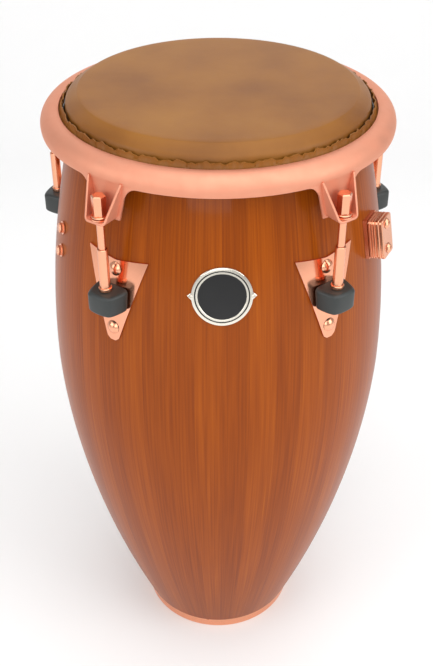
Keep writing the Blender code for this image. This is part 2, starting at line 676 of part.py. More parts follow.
def plate_mesh():
    """The dart-shaped side plate, bent round the shell, with its tab and bolt holes."""
    low, high = SEAT_GAP, SEAT_GAP + PLATE_THICKNESS
    corner, tip = HEIGHT - PLATE_TOP_DROP, HEIGHT - PLATE_TIP_DROP
    rows, columns = 5, 6
    grid = []
    for i in range(rows + 1):
        share = i / rows
        half = PLATE_WIDTH / 2 * (1 - share) + PLATE_TIP_WIDTH / 2 * share
        if i == rows:
            half = PLATE_TIP_WIDTH * 0.30
        row = []
        for k in range(columns + 1):
            across = 2 * k / columns - 1
            top = corner - PLATE_NOTCH * (1 - abs(across))
            bottom = tip + PLATE_TIP_WIDTH * 0.12 * abs(across)
            z = top + (bottom - top) * share
            row.append((on_shell(across * half, z, high), on_shell(across * half, z, low)))
        grid.append(row)
    sheet = loft("plate", grid, closed=False)
    root = shell_radius(TAB_TOP) + PLATE_THICKNESS / 2
    reach = BOLT_CIRCLE_RADIUS + TAB_REACH
    outline = rounded_rectangle((reach - root) / 2, TAB_HALF_WIDTH, 0.003)
    middle = (reach + root) / 2
    tab = stack("tab", [[(x + middle, y, z) for x, y in outline] for z in (TAB_BOTTOM, TAB_TOP)])
    hole = bolt_hole_mesh(NECK_RADIUS + HOLE_CLEARANCE, TAB_BOTTOM - 0.002, TAB_TOP + 0.002)
    frames = [surface_frame(pi / 2, HEIGHT - drop) for drop in CARRIAGE_DROPS]
    bolt_holes = radial_holes("plate_holes", frames, CARRIAGE_SHANK_RADIUS + HOLE_CLEARANCE, 0.004, 0.006)
    tools = [(tab, "UNION"), (hole, "DIFFERENCE"), (bolt_holes, "DIFFERENCE")]
    return cut_mesh("side_plate", sheet, ROSE_STEEL, tools)


def protector_mesh():
    """The rubber block: a rounded wedge with a slot for the tab and a hole for the neck."""
    rear = shell_radius(BLOCK_BOTTOM) + SEAT_GAP + PLATE_THICKNESS + SEAT_GAP
    rear_top = shell_radius(BLOCK_TOP) + SEAT_GAP + PLATE_THICKNESS + SEAT_GAP
    front = BOLT_CIRCLE_RADIUS + BLOCK_REACH

    def outline(inset, rear_x):
        half_rear = BLOCK_REAR_HALF_WIDTH - inset
        half_front = BLOCK_FRONT_HALF_WIDTH - inset * 0.8
        nose = front - inset
        bend = nose - 0.0045
        side = [(rear_x, half_rear - 0.002), (rear_x + 0.003, half_rear), (bend, half_front + 0.0035), (nose, half_front)]
        return side + [(x, -y) for x, y in side[::-1]]

    levels = []
    steps = 3
    for k in range(steps + 1):
        turn = pi / 2 * k / steps
        levels.append((BLOCK_BOTTOM + BLOCK_ROUNDING * (1 - cos(turn)), BLOCK_ROUNDING * (1 - sin(turn))))
    for k in range(steps + 1):
        turn = pi / 2 * (1 - k / steps)
        levels.append((BLOCK_TOP - BLOCK_ROUNDING * (1 - cos(turn)), BLOCK_ROUNDING * (1 - sin(turn))))
    loops = []
    for z, inset in levels:
        share = (z - BLOCK_BOTTOM) / (BLOCK_TOP - BLOCK_BOTTOM)
        loops.append([(x, y, z) for x, y in outline(inset, rear + (rear_top - rear) * share)])
    block = stack("protector", loops)
    slot_low = TAB_BOTTOM - SEAT_GAP - FOOT_FLANGE_HEIGHT - SEAT_GAP
    slot_high = TAB_TOP + SEAT_GAP
    slot_reach = BOLT_CIRCLE_RADIUS + TAB_REACH + SEAT_GAP
    half = TAB_HALF_WIDTH + SEAT_GAP
    start = rear_top - 0.006
    slot = stack("slot", [
        [(start, -half, z), (slot_reach, -half, z), (slot_reach, half, z), (start, half, z)]
        for z in (slot_low, slot_high)])
    neck = bolt_hole_mesh(NECK_RADIUS + 2 * HOLE_CLEARANCE, slot_high - 0.001, BLOCK_TOP + 0.002)
    return cut_mesh("protector", block, RUBBER, [(slot, "DIFFERENCE"), (neck, "DIFFERENCE")])


def nut_strap_mesh():
    """The strap inside the shell with two nuts on it, which the carriage bolts draw up."""
    near = -STAVE_THICKNESS * 1.03 - SEAT_GAP
    far = near - STRAP_THICKNESS
    top = HEIGHT - CARRIAGE_UPPER_DROP + STRAP_OVERHANG
    bottom = HEIGHT - CARRIAGE_LOWER_DROP - STRAP_OVERHANG
    rows = 3
    grid = []
    for i in range(rows + 1):
        z = top + (bottom - top) * i / rows
        row = []
        for across in (-1, 0, 1):
            side = across * STRAP_HALF_WIDTH
            row.append((on_shell(side, z, near), on_shell(side, z, far)))
        grid.append(row)
    strap = loft("strap", grid, closed=False)
    frames = [surface_frame(pi / 2, HEIGHT - drop) for drop in CARRIAGE_DROPS]
    tools = []
    for frame in frames:
        base = far + 0.001
        ends = [base, base - 0.001 - NUT_HEIGHT]
        loop = prism(NUT_RADIUS, 0, 0, 6)[0]
        nut = stack("nut", [[frame @ Vector((x, y, z)) for y, z, _ in loop] for x in ends])
        tools.append((nut, "UNION"))
    holes = radial_holes("strap_holes", frames, CARRIAGE_SHANK_RADIUS + HOLE_CLEARANCE, 0.030, 0.0)
    tools.append((holes, "DIFFERENCE"))
    return cut_mesh("nut_strap", strap, BARE_STEEL, tools)


def add_lugs():
    """Add the hardware of every lug: bolt, washer, receiver, rubber, plate and fasteners."""
    bolt = tension_bolt_mesh()
    washer_bore = THREAD_RADIUS + HOLE_CLEARANCE
    washer = lathe("washer", tube_profile(WASHER_RADIUS, washer_bore, WASHER_BOTTOM, WASHER_TOP), ROD_SIDES)
    receiver = receiver_mesh()
    protector = protector_mesh()
    plate = plate_mesh()
    strap = nut_strap_mesh()
    wall = PLATE_THICKNESS + SEAT_GAP + STAVE_THICKNESS + STRAP_THICKNESS + NUT_HEIGHT
    carriage = dome_pin(
        "carriage_bolt", CARRIAGE_DOME_RADIUS, CARRIAGE_DOME_HEIGHT, CARRIAGE_SHANK_RADIUS,
        wall + THREAD_STANDOUT, 10)
    for number, azimuth in enumerate(LUG_AZIMUTHS, 1):
        axis = turned(azimuth) @ Matrix.Translation((BOLT_CIRCLE_RADIUS, 0, 0))
        add_mesh(f"tension_bolt_{number}", bolt, ROSE_STEEL, axis)
        add_mesh(f"bolt_washer_{number}", washer, ROSE_STEEL, axis)
        add_mesh(f"lug_receiver_{number}", receiver, ROSE_STEEL, axis)
        add_mesh(f"lug_protector_{number}", protector, RUBBER, turned(azimuth))
        add_mesh(f"side_plate_{number}", plate, ROSE_STEEL, turned(azimuth))
        add_mesh(f"nut_strap_{number}", strap, BARE_STEEL, turned(azimuth))
        for place, drop in zip(("upper", "lower"), CARRIAGE_DROPS):
            seat = surface_frame(azimuth, HEIGHT - drop, 2 * SEAT_GAP + PLATE_THICKNESS)
            add_mesh(f"carriage_bolt_{place}_{number}", carriage, ROSE_STEEL, seat)


# Badge, side screws and clamp bracket

def badge_mesh():
    """A thin round plate with two pointed ears, bent round the shell."""
    height = HEIGHT - BADGE_DROP
    low, high = SEAT_GAP, SEAT_GAP + BADGE_THICKNESS
    tip_angle = BADGE_EAR_HALF_WIDTH / BADGE_RADIUS
    angles = []
    quarter = 8
    for side in (0, 1):
        start = side * pi
        angles += [(start, BADGE_EAR_TIP), (start + tip_angle, BADGE_RADIUS)]
        sweep = pi - 2 * tip_angle
        angles += [(start + tip_angle + sweep * k / (2 * quarter), BADGE_RADIUS) for k in range(1, 2 * quarter + 1)]
    shape = bmesh.new()
    sides = []
    for offset in (high, low):
        hub = shape.verts.new(on_shell(0, height, offset))
        rings = []
        for share in (0.5, 1.0):
            rings.append([
                shape.verts.new(on_shell(share * r * cos(a), height + share * r * sin(a), offset))
                for a, r in angles])
        for k in range(len(angles)):
            after = (k + 1) % len(angles)
            shape.faces.new((hub, rings[0][k], rings[0][after]))
            shape.faces.new((rings[0][k], rings[1][k], rings[1][after], rings[0][after]))
        sides.append(rings[1])
    for k in range(len(angles)):
        after = (k + 1) % len(angles)
        shape.faces.new((sides[0][k], sides[1][k], sides[1][after], sides[0][after]))
    blank = to_mesh("badge", shape)
    turn = BADGE_RIVET_OFFSET / shell_radius(height)
    frames = [surface_frame(pi / 2 + side * turn, height) for side in (-1, 1)]
    holes = radial_holes("badge_holes", frames, RIVET_SHANK_RADIUS + HOLE_CLEARANCE, 0.002, 0.003)
    return cut_mesh("badge", blank, BADGE_METAL, [(holes, "DIFFERENCE")])


def add_badge():
    """Add the badge and its two rivets."""
    add_mesh("badge", badge_mesh(), BADGE_METAL, turned(0.0))
    rivet = dome_pin("rivet", RIVET_HEAD_RADIUS, RIVET_HEAD_HEIGHT, RIVET_SHANK_RADIUS, RIVET_LENGTH, 8)
    seat = Matrix.Translation((2 * SEAT_GAP + BADGE_THICKNESS, 0, 0))
    for side, frame in zip(("left", "right"), badge_rivet_frames()):
        add_mesh(f"badge_rivet_{side}", rivet, BADGE_METAL, frame @ seat)


def hexagon_screw_mesh(length):
    """A low hexagon head on a round flange, with its shank along -x."""
    corner = SIDE_SCREW_ACROSS_FLATS / sqrt(3)

    def ring(radius, along, sides):
        turn = [2 * pi * k / sides for k in range(sides)]
        return [(along, radius * cos(a), radius * sin(a)) for a in turn]

    height = SIDE_SCREW_HEAD_HEIGHT
    low = SIDE_SCREW_WASHER_THICKNESS
    head = stack("hexagon", [
        ring(corner, low / 2, 6), ring(corner, low + height * 0.7, 6), ring(corner * 0.8, low + height, 6)])
    flange = stack("flange", [ring(SIDE_SCREW_WASHER_RADIUS, x, ROD_SIDES) for x in (0, low)])
    shank = stack("shank", [ring(CARRIAGE_SHANK_RADIUS, x, 10) for x in (-length, low / 2)])
    return cut_mesh("side_screw", head, ROSE_STEEL, [(flange, "UNION"), (shank, "UNION")])


def short_strap_mesh(spacing):
    """A flat strap inside the shell with two nuts on it, seated at x = 0 and facing inwards."""
    outline = rounded_rectangle(STRAP_HALF_WIDTH, spacing / 2 + STRAP_OVERHANG, 0.003)
    strap = stack("strap", [[(x, y, z) for y, z in outline] for x in (-STRAP_THICKNESS, 0)])
    tools = []
    places = [Matrix.Translation((0, 0, side * spacing / 2)) for side in (1, -1)]
    for place in places:
        loop = prism(NUT_RADIUS, 0, 0, 6)[0]
        ends = (0.001 - STRAP_THICKNESS, -STRAP_THICKNESS - NUT_HEIGHT)
        nut = stack("nut", [[place @ Vector((x, y, z)) for y, z, _ in loop] for x in ends])
        tools.append((nut, "UNION"))
    bores = radial_holes("nut_bores", places, CARRIAGE_SHANK_RADIUS + HOLE_CLEARANCE, 3 * NUT_HEIGHT, NUT_HEIGHT)
    tools.append((bores, "DIFFERENCE"))
    return cut_mesh("short_strap", strap, BARE_STEEL, tools)


def add_side_screws():
    """Add the two flanged screws on the other side, and the nut strap that they draw up inside."""
    drops = SIDE_SCREW_DROPS
    spacing = drops[1] - drops[0]
    frame = surface_frame(SIDE_SCREW_AZIMUTH, HEIGHT - (drops[0] + drops[1]) / 2)
    inner = -STAVE_THICKNESS - STRAP_CURVE_ROOM
    length = SEAT_GAP - inner + STRAP_THICKNESS + NUT_HEIGHT + THREAD_STANDOUT
    screw = hexagon_screw_mesh(length)
    for place, side in (("upper", 1), ("lower", -1)):
        seat = frame @ Matrix.Translation((SEAT_GAP, 0, side * spacing / 2))
        add_mesh(f"side_screw_{place}", screw, ROSE_STEEL, seat)
    add_mesh("side_screw_strap", short_strap_mesh(spacing), BARE_STEEL, frame @ Matrix.Translation((inner, 0, 0)))


def finned_block_mesh(name, start, thickness, ribs, holes):
    """A rounded block along x with shallow grooves cut all round between its ribs."""
    pitch = thickness / ribs
    stations = []
    for k in range(ribs):
        low = start + k * pitch
        stations += [(low, CLAMP_GROOVE), (low + 0.22 * pitch, 0.0), (low + 0.78 * pitch, 0.0)]
    stations.append((start + thickness, CLAMP_GROOVE))
    loops = []
    for x, inset in stations:
        outline = rounded_rectangle(CLAMP_HALF_WIDTH - inset, CLAMP_HALF_HEIGHT - inset, CLAMP_CORNER - inset)
        loops.append([(x, y, z) for y, z in outline])
    return cut_mesh(name, stack(name, loops), ROSE_STEEL, [(holes, "DIFFERENCE")])


def saddle_mesh(holes):
    """The bracket's saddle: flat outside, and hollowed behind to the shell's curve."""
    height = CLAMP_HEIGHT
    to_local = surface_frame(pi / 2, height).inverted()
    rows, columns = 4, 6
    grid = []
    for i in range(rows + 1):
        up = CLAMP_HALF_HEIGHT * (2 * i / rows - 1)
        row = []
        for k in range(columns + 1):
            side = CLAMP_HALF_WIDTH * (2 * k / columns - 1)
            behind = to_local @ on_shell(side, height + up * cos(shell_slope(height)), SEAT_GAP)
            row.append(((CLAMP_SADDLE_THICKNESS, side, up), (behind.x, side, up)))
        grid.append(row)
    blank = loft("saddle", grid, closed=False)
    return cut_mesh("clamp_saddle", blank, ROSE_STEEL, [(holes, "DIFFERENCE")])


def add_clamp():
    """Add the clamp bracket: saddle, ribbed fixed jaw, ribbed moving jaw, two bolts and their nut strap."""
    frame = surface_frame(CLAMP_AZIMUTH, CLAMP_HEIGHT)

    def drilled():
        places = [Matrix.Translation((0, 0, offset)) for offset in CLAMP_BOLT_OFFSETS]
        return radial_holes("clamp_holes", places, CLAMP_BOLT_RADIUS + HOLE_CLEARANCE, 0.010, 0.030)

    fixed_start = CLAMP_SADDLE_THICKNESS + SEAT_GAP
    moving_start = fixed_start + CLAMP_FIXED_THICKNESS + SEAT_GAP
    seat = moving_start + CLAMP_MOVING_THICKNESS + SEAT_GAP
    add_mesh("clamp_saddle", saddle_mesh(drilled()), ROSE_STEEL, frame)
    fixed = finned_block_mesh("clamp_fixed_jaw", fixed_start, CLAMP_FIXED_THICKNESS, 3, drilled())
    add_mesh("clamp_fixed_jaw", fixed, ROSE_STEEL, frame)
    moving = finned_block_mesh("clamp_moving_jaw", moving_start, CLAMP_MOVING_THICKNESS, 2, drilled())
    add_mesh("clamp_moving_jaw", moving, ROSE_STEEL, frame)
    inner = -STAVE_THICKNESS - STRAP_CURVE_ROOM
    length = seat - inner + STRAP_THICKNESS + NUT_HEIGHT + CLAMP_BOLT_TRAVEL
    bolt = dome_pin("clamp_bolt", CLAMP_DOME_RADIUS, CLAMP_DOME_HEIGHT, CLAMP_BOLT_RADIUS, length, 10)
    for place, offset in zip(("upper", "lower"), CLAMP_BOLT_OFFSETS):
        add_mesh(f"clamp_bolt_{place}", bolt, ROSE_STEEL, frame @ Matrix.Translation((seat, 0, offset)))
    add_mesh("clamp_strap", short_strap_mesh(CLAMP_BOLT_SPACING), BARE_STEEL, frame @ Matrix.Translation((inner, 0, 0)))


clear_scene()
add_shell()
add_base_ring()
add_head()
add_crown()
add_lugs()
add_badge()
add_side_screws()
add_clamp()
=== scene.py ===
# %% [markdown]
# # A conga drum in the studio
#
# The drum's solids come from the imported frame, one object per piece, in metres. The drum's axis is the
# world Z axis, the floor is Z = 0, and the badge looks towards -Y. This script gives every piece its
# finish, makes finer surfaces for the pieces that show most, and sets the floor, the lamps and the camera.

import json
import math

import bmesh
import bpy
import numpy as np
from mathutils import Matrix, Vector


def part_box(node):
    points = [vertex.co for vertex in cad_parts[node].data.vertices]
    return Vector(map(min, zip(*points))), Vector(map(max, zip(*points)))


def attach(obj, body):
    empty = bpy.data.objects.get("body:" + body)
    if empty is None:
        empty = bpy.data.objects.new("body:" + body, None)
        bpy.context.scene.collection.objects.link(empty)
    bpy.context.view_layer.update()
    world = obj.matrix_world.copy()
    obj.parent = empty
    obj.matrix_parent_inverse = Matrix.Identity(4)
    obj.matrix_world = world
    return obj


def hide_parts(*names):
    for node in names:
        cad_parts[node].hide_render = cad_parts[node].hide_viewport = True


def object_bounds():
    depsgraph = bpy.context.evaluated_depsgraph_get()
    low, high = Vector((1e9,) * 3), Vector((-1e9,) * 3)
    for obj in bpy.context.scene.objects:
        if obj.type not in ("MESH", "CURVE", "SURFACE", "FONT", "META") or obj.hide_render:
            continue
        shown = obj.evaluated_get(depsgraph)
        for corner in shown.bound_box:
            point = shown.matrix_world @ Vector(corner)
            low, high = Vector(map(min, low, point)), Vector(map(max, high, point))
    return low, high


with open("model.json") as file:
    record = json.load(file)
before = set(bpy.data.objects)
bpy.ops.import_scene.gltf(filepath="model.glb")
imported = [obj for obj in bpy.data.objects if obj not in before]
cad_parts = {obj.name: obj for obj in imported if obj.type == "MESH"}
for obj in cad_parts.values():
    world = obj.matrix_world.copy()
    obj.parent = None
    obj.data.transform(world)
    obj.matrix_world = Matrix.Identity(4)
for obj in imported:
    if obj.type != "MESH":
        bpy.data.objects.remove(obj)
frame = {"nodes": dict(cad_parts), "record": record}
packed_low, packed_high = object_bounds()
print("pieces in the frame:", len(frame["nodes"]))

# %% [markdown]
# ## Colours and nodes
#
# A colour picker shows sRGB, and a shader works in linear light, so one function turns the first into the
# second. Materials can be drawn by hand in the node editor. Here they are built by one function that adds a
# node and links what it is given, so that a finish reads from top to bottom.

# %% Colour and node helpers


def colour(text):
    """Return the linear RGBA value of an sRGB hexadecimal colour."""
    parts = [int(text[k:k + 2], 16) / 255 for k in (1, 3, 5)]
    linear = [c / 12.92 if c <= 0.04045 else ((c + 0.055) / 1.055) ** 2.4 for c in parts]
    return (*linear, 1.0)


def set_inputs(tree, node, inputs):
    """Set a node's inputs to values, or link them to sockets, or to the first output of nodes."""
    for key, value in inputs.items():
        if isinstance(value, bpy.types.Node):
            value = value.outputs[0]
        if isinstance(value, bpy.types.NodeSocket):
            tree.links.new(value, node.inputs[key])
        else:
            node.inputs[key].default_value = value


def add_node(tree, kind, inputs, stops=(), **settings):
    """Add a node with its inputs, its settings and, for a ramp, its (position, colour) stops."""
    made = tree.nodes.new(kind)
    for key, value in settings.items():
        setattr(made, key, value)
    set_inputs(tree, made, inputs)
    if stops:
        elements = made.color_ramp.elements
        while len(elements) < len(stops):
            elements.new(0.5)
        for element, (position, text) in zip(elements, stops):
            element.position = position
            element.color = colour(text)
    return made


def new_material(name):
    """Return a new node material, its tree, its Principled shader and the object's own coordinates."""
    made = bpy.data.materials.new(name)
    made.use_nodes = True
    tree = made.node_tree
    place = add_node(tree, "ShaderNodeTexCoord", {}).outputs["Object"]
    return made, tree, tree.nodes["Principled BSDF"], place


finishes = {}

# %% [markdown]
# ## Varnished wood
#
# The shell of a conga is glued from tapered staves, bent, turned and sprayed with a thin amber varnish.
# Each stave keeps its own tone, and its grain runs from the head to the foot. An image could be wrapped
# round the shell, but a pattern in the drum's own angle and height needs no unwrapping and lines up with
# the staves: the angle tells the stave, and a stretched noise draws the grain.

# %% Wood
# A stave is about 30 mm wide at the belly. A grain line is 2 mm wide and 140 mm long there, which is coarser
# than real grain, so that it shows at this distance.
STAVE_COUNT = 42
STAVE_TONE = 0.13
GRAIN_TONE = 0.66
GRAINS_PER_STAVE = 14.0
GRAINS_PER_METRE = 7.0
GRAIN_JUMP = 40.0
SEAM_SHARE = 0.03
SEAM_DEPTH = 0.0003


def varnished_wood():
    """Staves with a long grain: stave = azimuth * count / 2 pi, tone = a draw per stave + a long noise."""
    made, tree, shader, place = new_material("varnished_oak_staves")
    axes = add_node(tree, "ShaderNodeSeparateXYZ", {"Vector": place}).outputs
    angle = add_node(tree, "ShaderNodeMath", {0: axes["X"], 1: axes["Y"]}, operation="ARCTAN2")
    stave = add_node(tree, "ShaderNodeMath", {0: angle, 1: STAVE_COUNT / (2 * math.pi)}, operation="MULTIPLY")
    number = add_node(tree, "ShaderNodeMath", {0: stave}, operation="FLOOR")
    draw = add_node(tree, "ShaderNodeTexWhiteNoise", {"W": number}, noise_dimensions="1D")
    across = add_node(tree, "ShaderNodeMath", {0: stave, 1: GRAINS_PER_STAVE}, operation="MULTIPLY")
    along = add_node(tree, "ShaderNodeMath", {0: axes["Z"], 1: GRAINS_PER_METRE}, operation="MULTIPLY")
    shifted = add_node(tree, "ShaderNodeMath", {0: draw, 1: GRAIN_JUMP, 2: along}, operation="MULTIPLY_ADD")
    cell = add_node(tree, "ShaderNodeCombineXYZ", {"X": across, "Y": shifted, "Z": draw})
    grain = add_node(tree, "ShaderNodeTexNoise", {"Vector": cell, "Scale": 1.0, "Detail": 5.0})
    own_tone = add_node(tree, "ShaderNodeMath", {0: draw, 1: STAVE_TONE}, operation="MULTIPLY")
    blend = add_node(tree, "ShaderNodeMath", {0: grain, 1: GRAIN_TONE, 2: own_tone}, operation="MULTIPLY_ADD")
    tone = add_node(tree, "ShaderNodeValToRGB", {"Fac": blend}, stops=[
        (0.10, "#74300A"), (0.32, "#883E08"), (0.50, "#9A4A0A"), (0.72, "#B06012")])
    into_stave = add_node(tree, "ShaderNodeMath", {0: stave}, operation="FRACT")
    seam = add_node(tree, "ShaderNodeMath", {0: into_stave, 1: SEAM_SHARE}, operation="LESS_THAN")
    relief = add_node(tree, "ShaderNodeBump", {"Height": seam, "Strength": 0.3, "Distance": -SEAM_DEPTH})
    # Varnish: a soft sheen from the wood under it and a thin clear coat, which gives the long highlights.
    set_inputs(tree, shader, {
        "Base Color": tone, "Normal": relief, "Roughness": 0.35, "Specular IOR Level": 0.06,
        "Coat Weight": 0.2, "Coat Roughness": 0.08})
    return made


finishes["wood"] = varnished_wood()
print("staves round the shell:", STAVE_COUNT)

# %% [markdown]
# ## Rawhide
#
# The head is thick rawhide. It is cloudy and a little greasy. Where it turns down over the
# edge its colour is darkened with painted shade, for the wall that turns away from the light. A photograph
# of hide would do, but two noises are enough: broad clouds for the tone and fine specks for the relief.

# %% Hide
# Clouds are about 110 mm across, and specks 1.7 mm, which is coarser than real pores so that they show.
CLOUD_SCALE = 9.0
SPECK_SCALE = 600.0
# Painted shade: the hide's colour is made darker below the fold, where the wall turns away from the light.
FOLD_DEPTHS = (0.0006, 0.0060)
FOLD_PAINTED_SHADE = 0.10


def rawhide():
    """Golden hide: tone = cloud - painted shade, where the painted shade grows from 0 to its full value below
    the fold.
    """
    made, tree, shader, place = new_material("rawhide_head")
    cloud = add_node(tree, "ShaderNodeTexNoise", {"Vector": place, "Scale": CLOUD_SCALE, "Detail": 8.0})
    axes = add_node(tree, "ShaderNodeSeparateXYZ", {"Vector": place}).outputs
    # Painted shade on the head's wall, darker below the fold; the hide itself has no such colour.
    shade = add_node(tree, "ShaderNodeMapRange", {
        "Value": axes["Z"], "From Min": packed_high[2] - FOLD_DEPTHS[1],
        "From Max": packed_high[2] - FOLD_DEPTHS[0], "To Min": FOLD_PAINTED_SHADE, "To Max": 0.0})
    level = add_node(tree, "ShaderNodeMath", {0: cloud, 1: shade}, operation="SUBTRACT")
    tone = add_node(tree, "ShaderNodeValToRGB", {"Fac": level}, stops=[
        (0.15, "#6A3C12"), (0.5, "#8A571C"), (0.75, "#996624")])
    specks = add_node(tree, "ShaderNodeTexNoise", {"Vector": place, "Scale": SPECK_SCALE, "Detail": 4.0})
    relief = add_node(tree, "ShaderNodeBump", {"Height": specks, "Strength": 0.25, "Distance": 0.0004})
    set_inputs(tree, shader, {
        "Base Color": tone, "Normal": relief, "Specular IOR Level": 0.3, "Roughness": 0.45})
    return made


finishes["hide"] = rawhide()

# %% [markdown]
# ## Plated steel
#
# The crown, the plates and the bolts are steel with a rose gold plating. The crown is brushed dull, the
# plates are polished and the small parts are in between. One function makes them all, because only the
# colour and the roughness differ. A weak ripple keeps the reflections from looking like a perfect mirror.

# %% Metals
# A ripple is about 17 mm across, the spacing of the dents that a buffing wheel leaves.
RIPPLE_SCALE = 60.0
RIPPLE_DEPTH = 0.0005
ROUGHNESS_SPREAD = (0.8, 1.25)


def plated(name, base, roughness, ripple):
    """Metal whose roughness and polish waver with one noise: roughness = base value * 0.8 to 1.25."""
    made, tree, shader, place = new_material(name)
    noise = add_node(tree, "ShaderNodeTexNoise", {"Vector": place, "Scale": RIPPLE_SCALE, "Detail": 3.0})
    rough = add_node(tree, "ShaderNodeMapRange", {
        "Value": noise, "To Min": roughness * ROUGHNESS_SPREAD[0], "To Max": roughness * ROUGHNESS_SPREAD[1]})
    relief = add_node(tree, "ShaderNodeBump", {"Height": noise, "Strength": ripple, "Distance": RIPPLE_DEPTH})
    set_inputs(tree, shader, {
        "Base Color": colour(base), "Metallic": 1.0, "Roughness": rough, "Normal": relief})
    return made


finishes["rose_steel"] = plated("rose_gold_plated_steel", "#F0AC8A", 0.24, 0.02)
finishes["rose_steel:polished"] = plated("polished_rose_gold_steel", "#F0A888", 0.14, 0.015)
finishes["rose_steel:satin"] = plated("satin_rose_gold_steel", "#E4A286", 0.60, 0.02)
finishes["bare_steel"] = plated("zinc_plated_steel", "#B9BABC", 0.35, 0.05)
finishes["badge_metal"] = plated("nickel_badge", "#D9D4C8", 0.28, 0.03)

# %% [markdown]
# ## Rubber
#
# The blocks over the plates' tabs are moulded black rubber, dark grey to the eye and a little dull.

# %% Rubber
# The grit is about 1.1 mm across, coarser than a real mould's, so that it shows.
GRIT_SCALE = 900.0


def black_rubber():
    """Moulded rubber with a fine grit from its mould."""
    made, tree, shader, place = new_material("black_moulded_rubber")
    grit = add_node(tree, "ShaderNodeTexNoise", {"Vector": place, "Scale": GRIT_SCALE})
    relief = add_node(tree, "ShaderNodeBump", {"Height": grit, "Strength": 0.2, "Distance": 0.0003})
    set_inputs(tree, shader, {"Base Color": colour("#2A2E2D"), "Normal": relief, "Roughness": 0.42})
    return made


finishes["rubber"] = black_rubber()

# %% [markdown]
# ## Finishes on the CAD pieces
#
# The record gives each node a material slot. Every CAD piece first gets its slot's finish, and the pieces
# that are made anew below hide theirs.

# %% Dress the CAD pieces
slots = {part["node"]: part["material_slot"] for part in frame["record"]["subparts"]}
for name, node in frame["nodes"].items():
    node.data.materials.clear()
    node.data.materials.append(finishes[slots[name]])
print("finishes:", sorted(finishes))

# %% [markdown]
# ## Outline of the shell
#
# A conga's shell swells to a belly above its middle and tapers to a narrow foot. The outline could be drawn
# as a spline, but two power curves that meet level at the belly follow it with six sizes: radius(z) = belly
# - (belly - end) * share ** fullness, where share runs from 0 at the belly to 1 at that end.

# %% Shell outline
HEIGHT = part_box("head_skin")[1][2]
BELLY_RADIUS = 0.197
BELLY_HEIGHT = 0.440
HEAD_RADIUS = 0.1485
FOOT_RADIUS = 0.0985
UPPER_FULLNESS = 2.0
LOWER_FULLNESS = 1.75
WALL = 0.0115
GAP = 0.0003


def shell_radius(height):
    """Return the radius of the shell's outside at each height, by the formula above."""
    up = np.clip((height - BELLY_HEIGHT) / (HEIGHT - BELLY_HEIGHT), 0, None)
    down = np.clip((BELLY_HEIGHT - height) / BELLY_HEIGHT, 0, None)
    return (BELLY_RADIUS - (BELLY_RADIUS - HEAD_RADIUS) * up ** UPPER_FULLNESS
            - (BELLY_RADIUS - FOOT_RADIUS) * down ** LOWER_FULLNESS)


def on_shell(azimuth, arc_length, height, offset):
    """Put points on the shell: turn = azimuth + arc length / radius, reach = radius + offset."""
    radius = shell_radius(height)
    turn = azimuth + arc_length / radius
    reach = radius + offset
    return np.stack([reach * np.sin(turn), -reach * np.cos(turn), height + 0 * turn], axis=-1)


print("shell radius at the foot and at the head, m:", shell_radius(np.array([0.0, HEIGHT])))

# %% [markdown]
# ## Surfaces from grids of points
#
# Nearly every piece here is a turned or a bent form, so it is a function of two parameters on a grid. numpy
# works the whole grid out at once, and one function joins its neighbours with four-sided faces. Primitives
# and modifiers could give similar forms, but a grid keeps the real outline as the only input.

# %% Meshes
SHARP_ANGLE = math.radians(40)
MERGE_DISTANCE = 1e-6


def finished(name, shape):
    """Turn a bmesh into a mesh, smooth but for the edges that bend more than the sharp angle."""
    mesh = bpy.data.meshes.new(name)
    shape.to_mesh(mesh)
    shape.free()
    mesh.shade_smooth()
    mesh.set_sharp_from_angle(angle=SHARP_ANGLE)
    return mesh


def grid_mesh(name, points, closed_rows=True, closed_columns=True):
    """Return a mesh over points[i, j], closed on itself in the directions asked for."""
    rows, columns = points.shape[:2]
    i, j = np.meshgrid(
        np.arange(rows if closed_rows else rows - 1),
        np.arange(columns if closed_columns else columns - 1), indexing="ij")
    k, m = (i + 1) % rows, (j + 1) % columns
    faces = np.stack([i * columns + j, k * columns + j, k * columns + m, i * columns + m], axis=-1)
    sheet = bpy.data.meshes.new(name)
    sheet.from_pydata(points.reshape(-1, 3), [], faces.reshape(-1, 4))
    shape = bmesh.new()
    shape.from_mesh(sheet)
    bpy.data.meshes.remove(sheet)
    bmesh.ops.remove_doubles(shape, verts=shape.verts, dist=MERGE_DISTANCE)
    bmesh.ops.recalc_face_normals(shape, faces=shape.faces)
    return finished(name, shape)


def capped(name, points):
    """Return a closed mesh over an open grid of closed loops, with a face over each end."""
    sheet = grid_mesh(name, points, closed_rows=False)
    shape = bmesh.new()
    shape.from_mesh(sheet)
    bpy.data.meshes.remove(sheet)
    bmesh.ops.holes_fill(shape, edges=[e for e in shape.edges if e.is_boundary])
    bmesh.ops.recalc_face_normals(shape, faces=shape.faces)
    return finished(name, shape)


def joined(name, meshes):
    """Return one mesh that holds several."""
    shape = bmesh.new()
    for part in meshes:
        shape.from_mesh(part)
        bpy.data.meshes.remove(part)
    return finished(name, shape)


# %% [markdown]
# ## Outlines
#
# Outlines are lists of (radius, height) points. Round stretches are arcs, bends of sheet are cut corners,
# and a lathe turns the outline round the axis.

# %% Outline helpers


def arc(centre, radius, start, end, steps):
    """Return points along an arc: centre + radius * (cos a, sin a), with both ends included."""
    turn = np.radians(np.linspace(start, end, steps + 1))
    return np.stack([centre[0] + radius * np.cos(turn), centre[1] + radius * np.sin(turn)], axis=-1)


def soften(points, rounds=3, closed=False):
    """Round a polyline by cutting its corners at a quarter of each side, again and again."""
    points = np.asarray(points, float)
    for _ in range(rounds):
        ahead = np.roll(points, -1, axis=0)
        cut = np.stack([0.75 * points + 0.25 * ahead, 0.25 * points + 0.75 * ahead], axis=1)
        if closed:
            points = cut.reshape(-1, points.shape[1])
        else:
            points = np.concatenate([points[:1], cut[:-1].reshape(-1, points.shape[1]), points[-1:]])
    return points


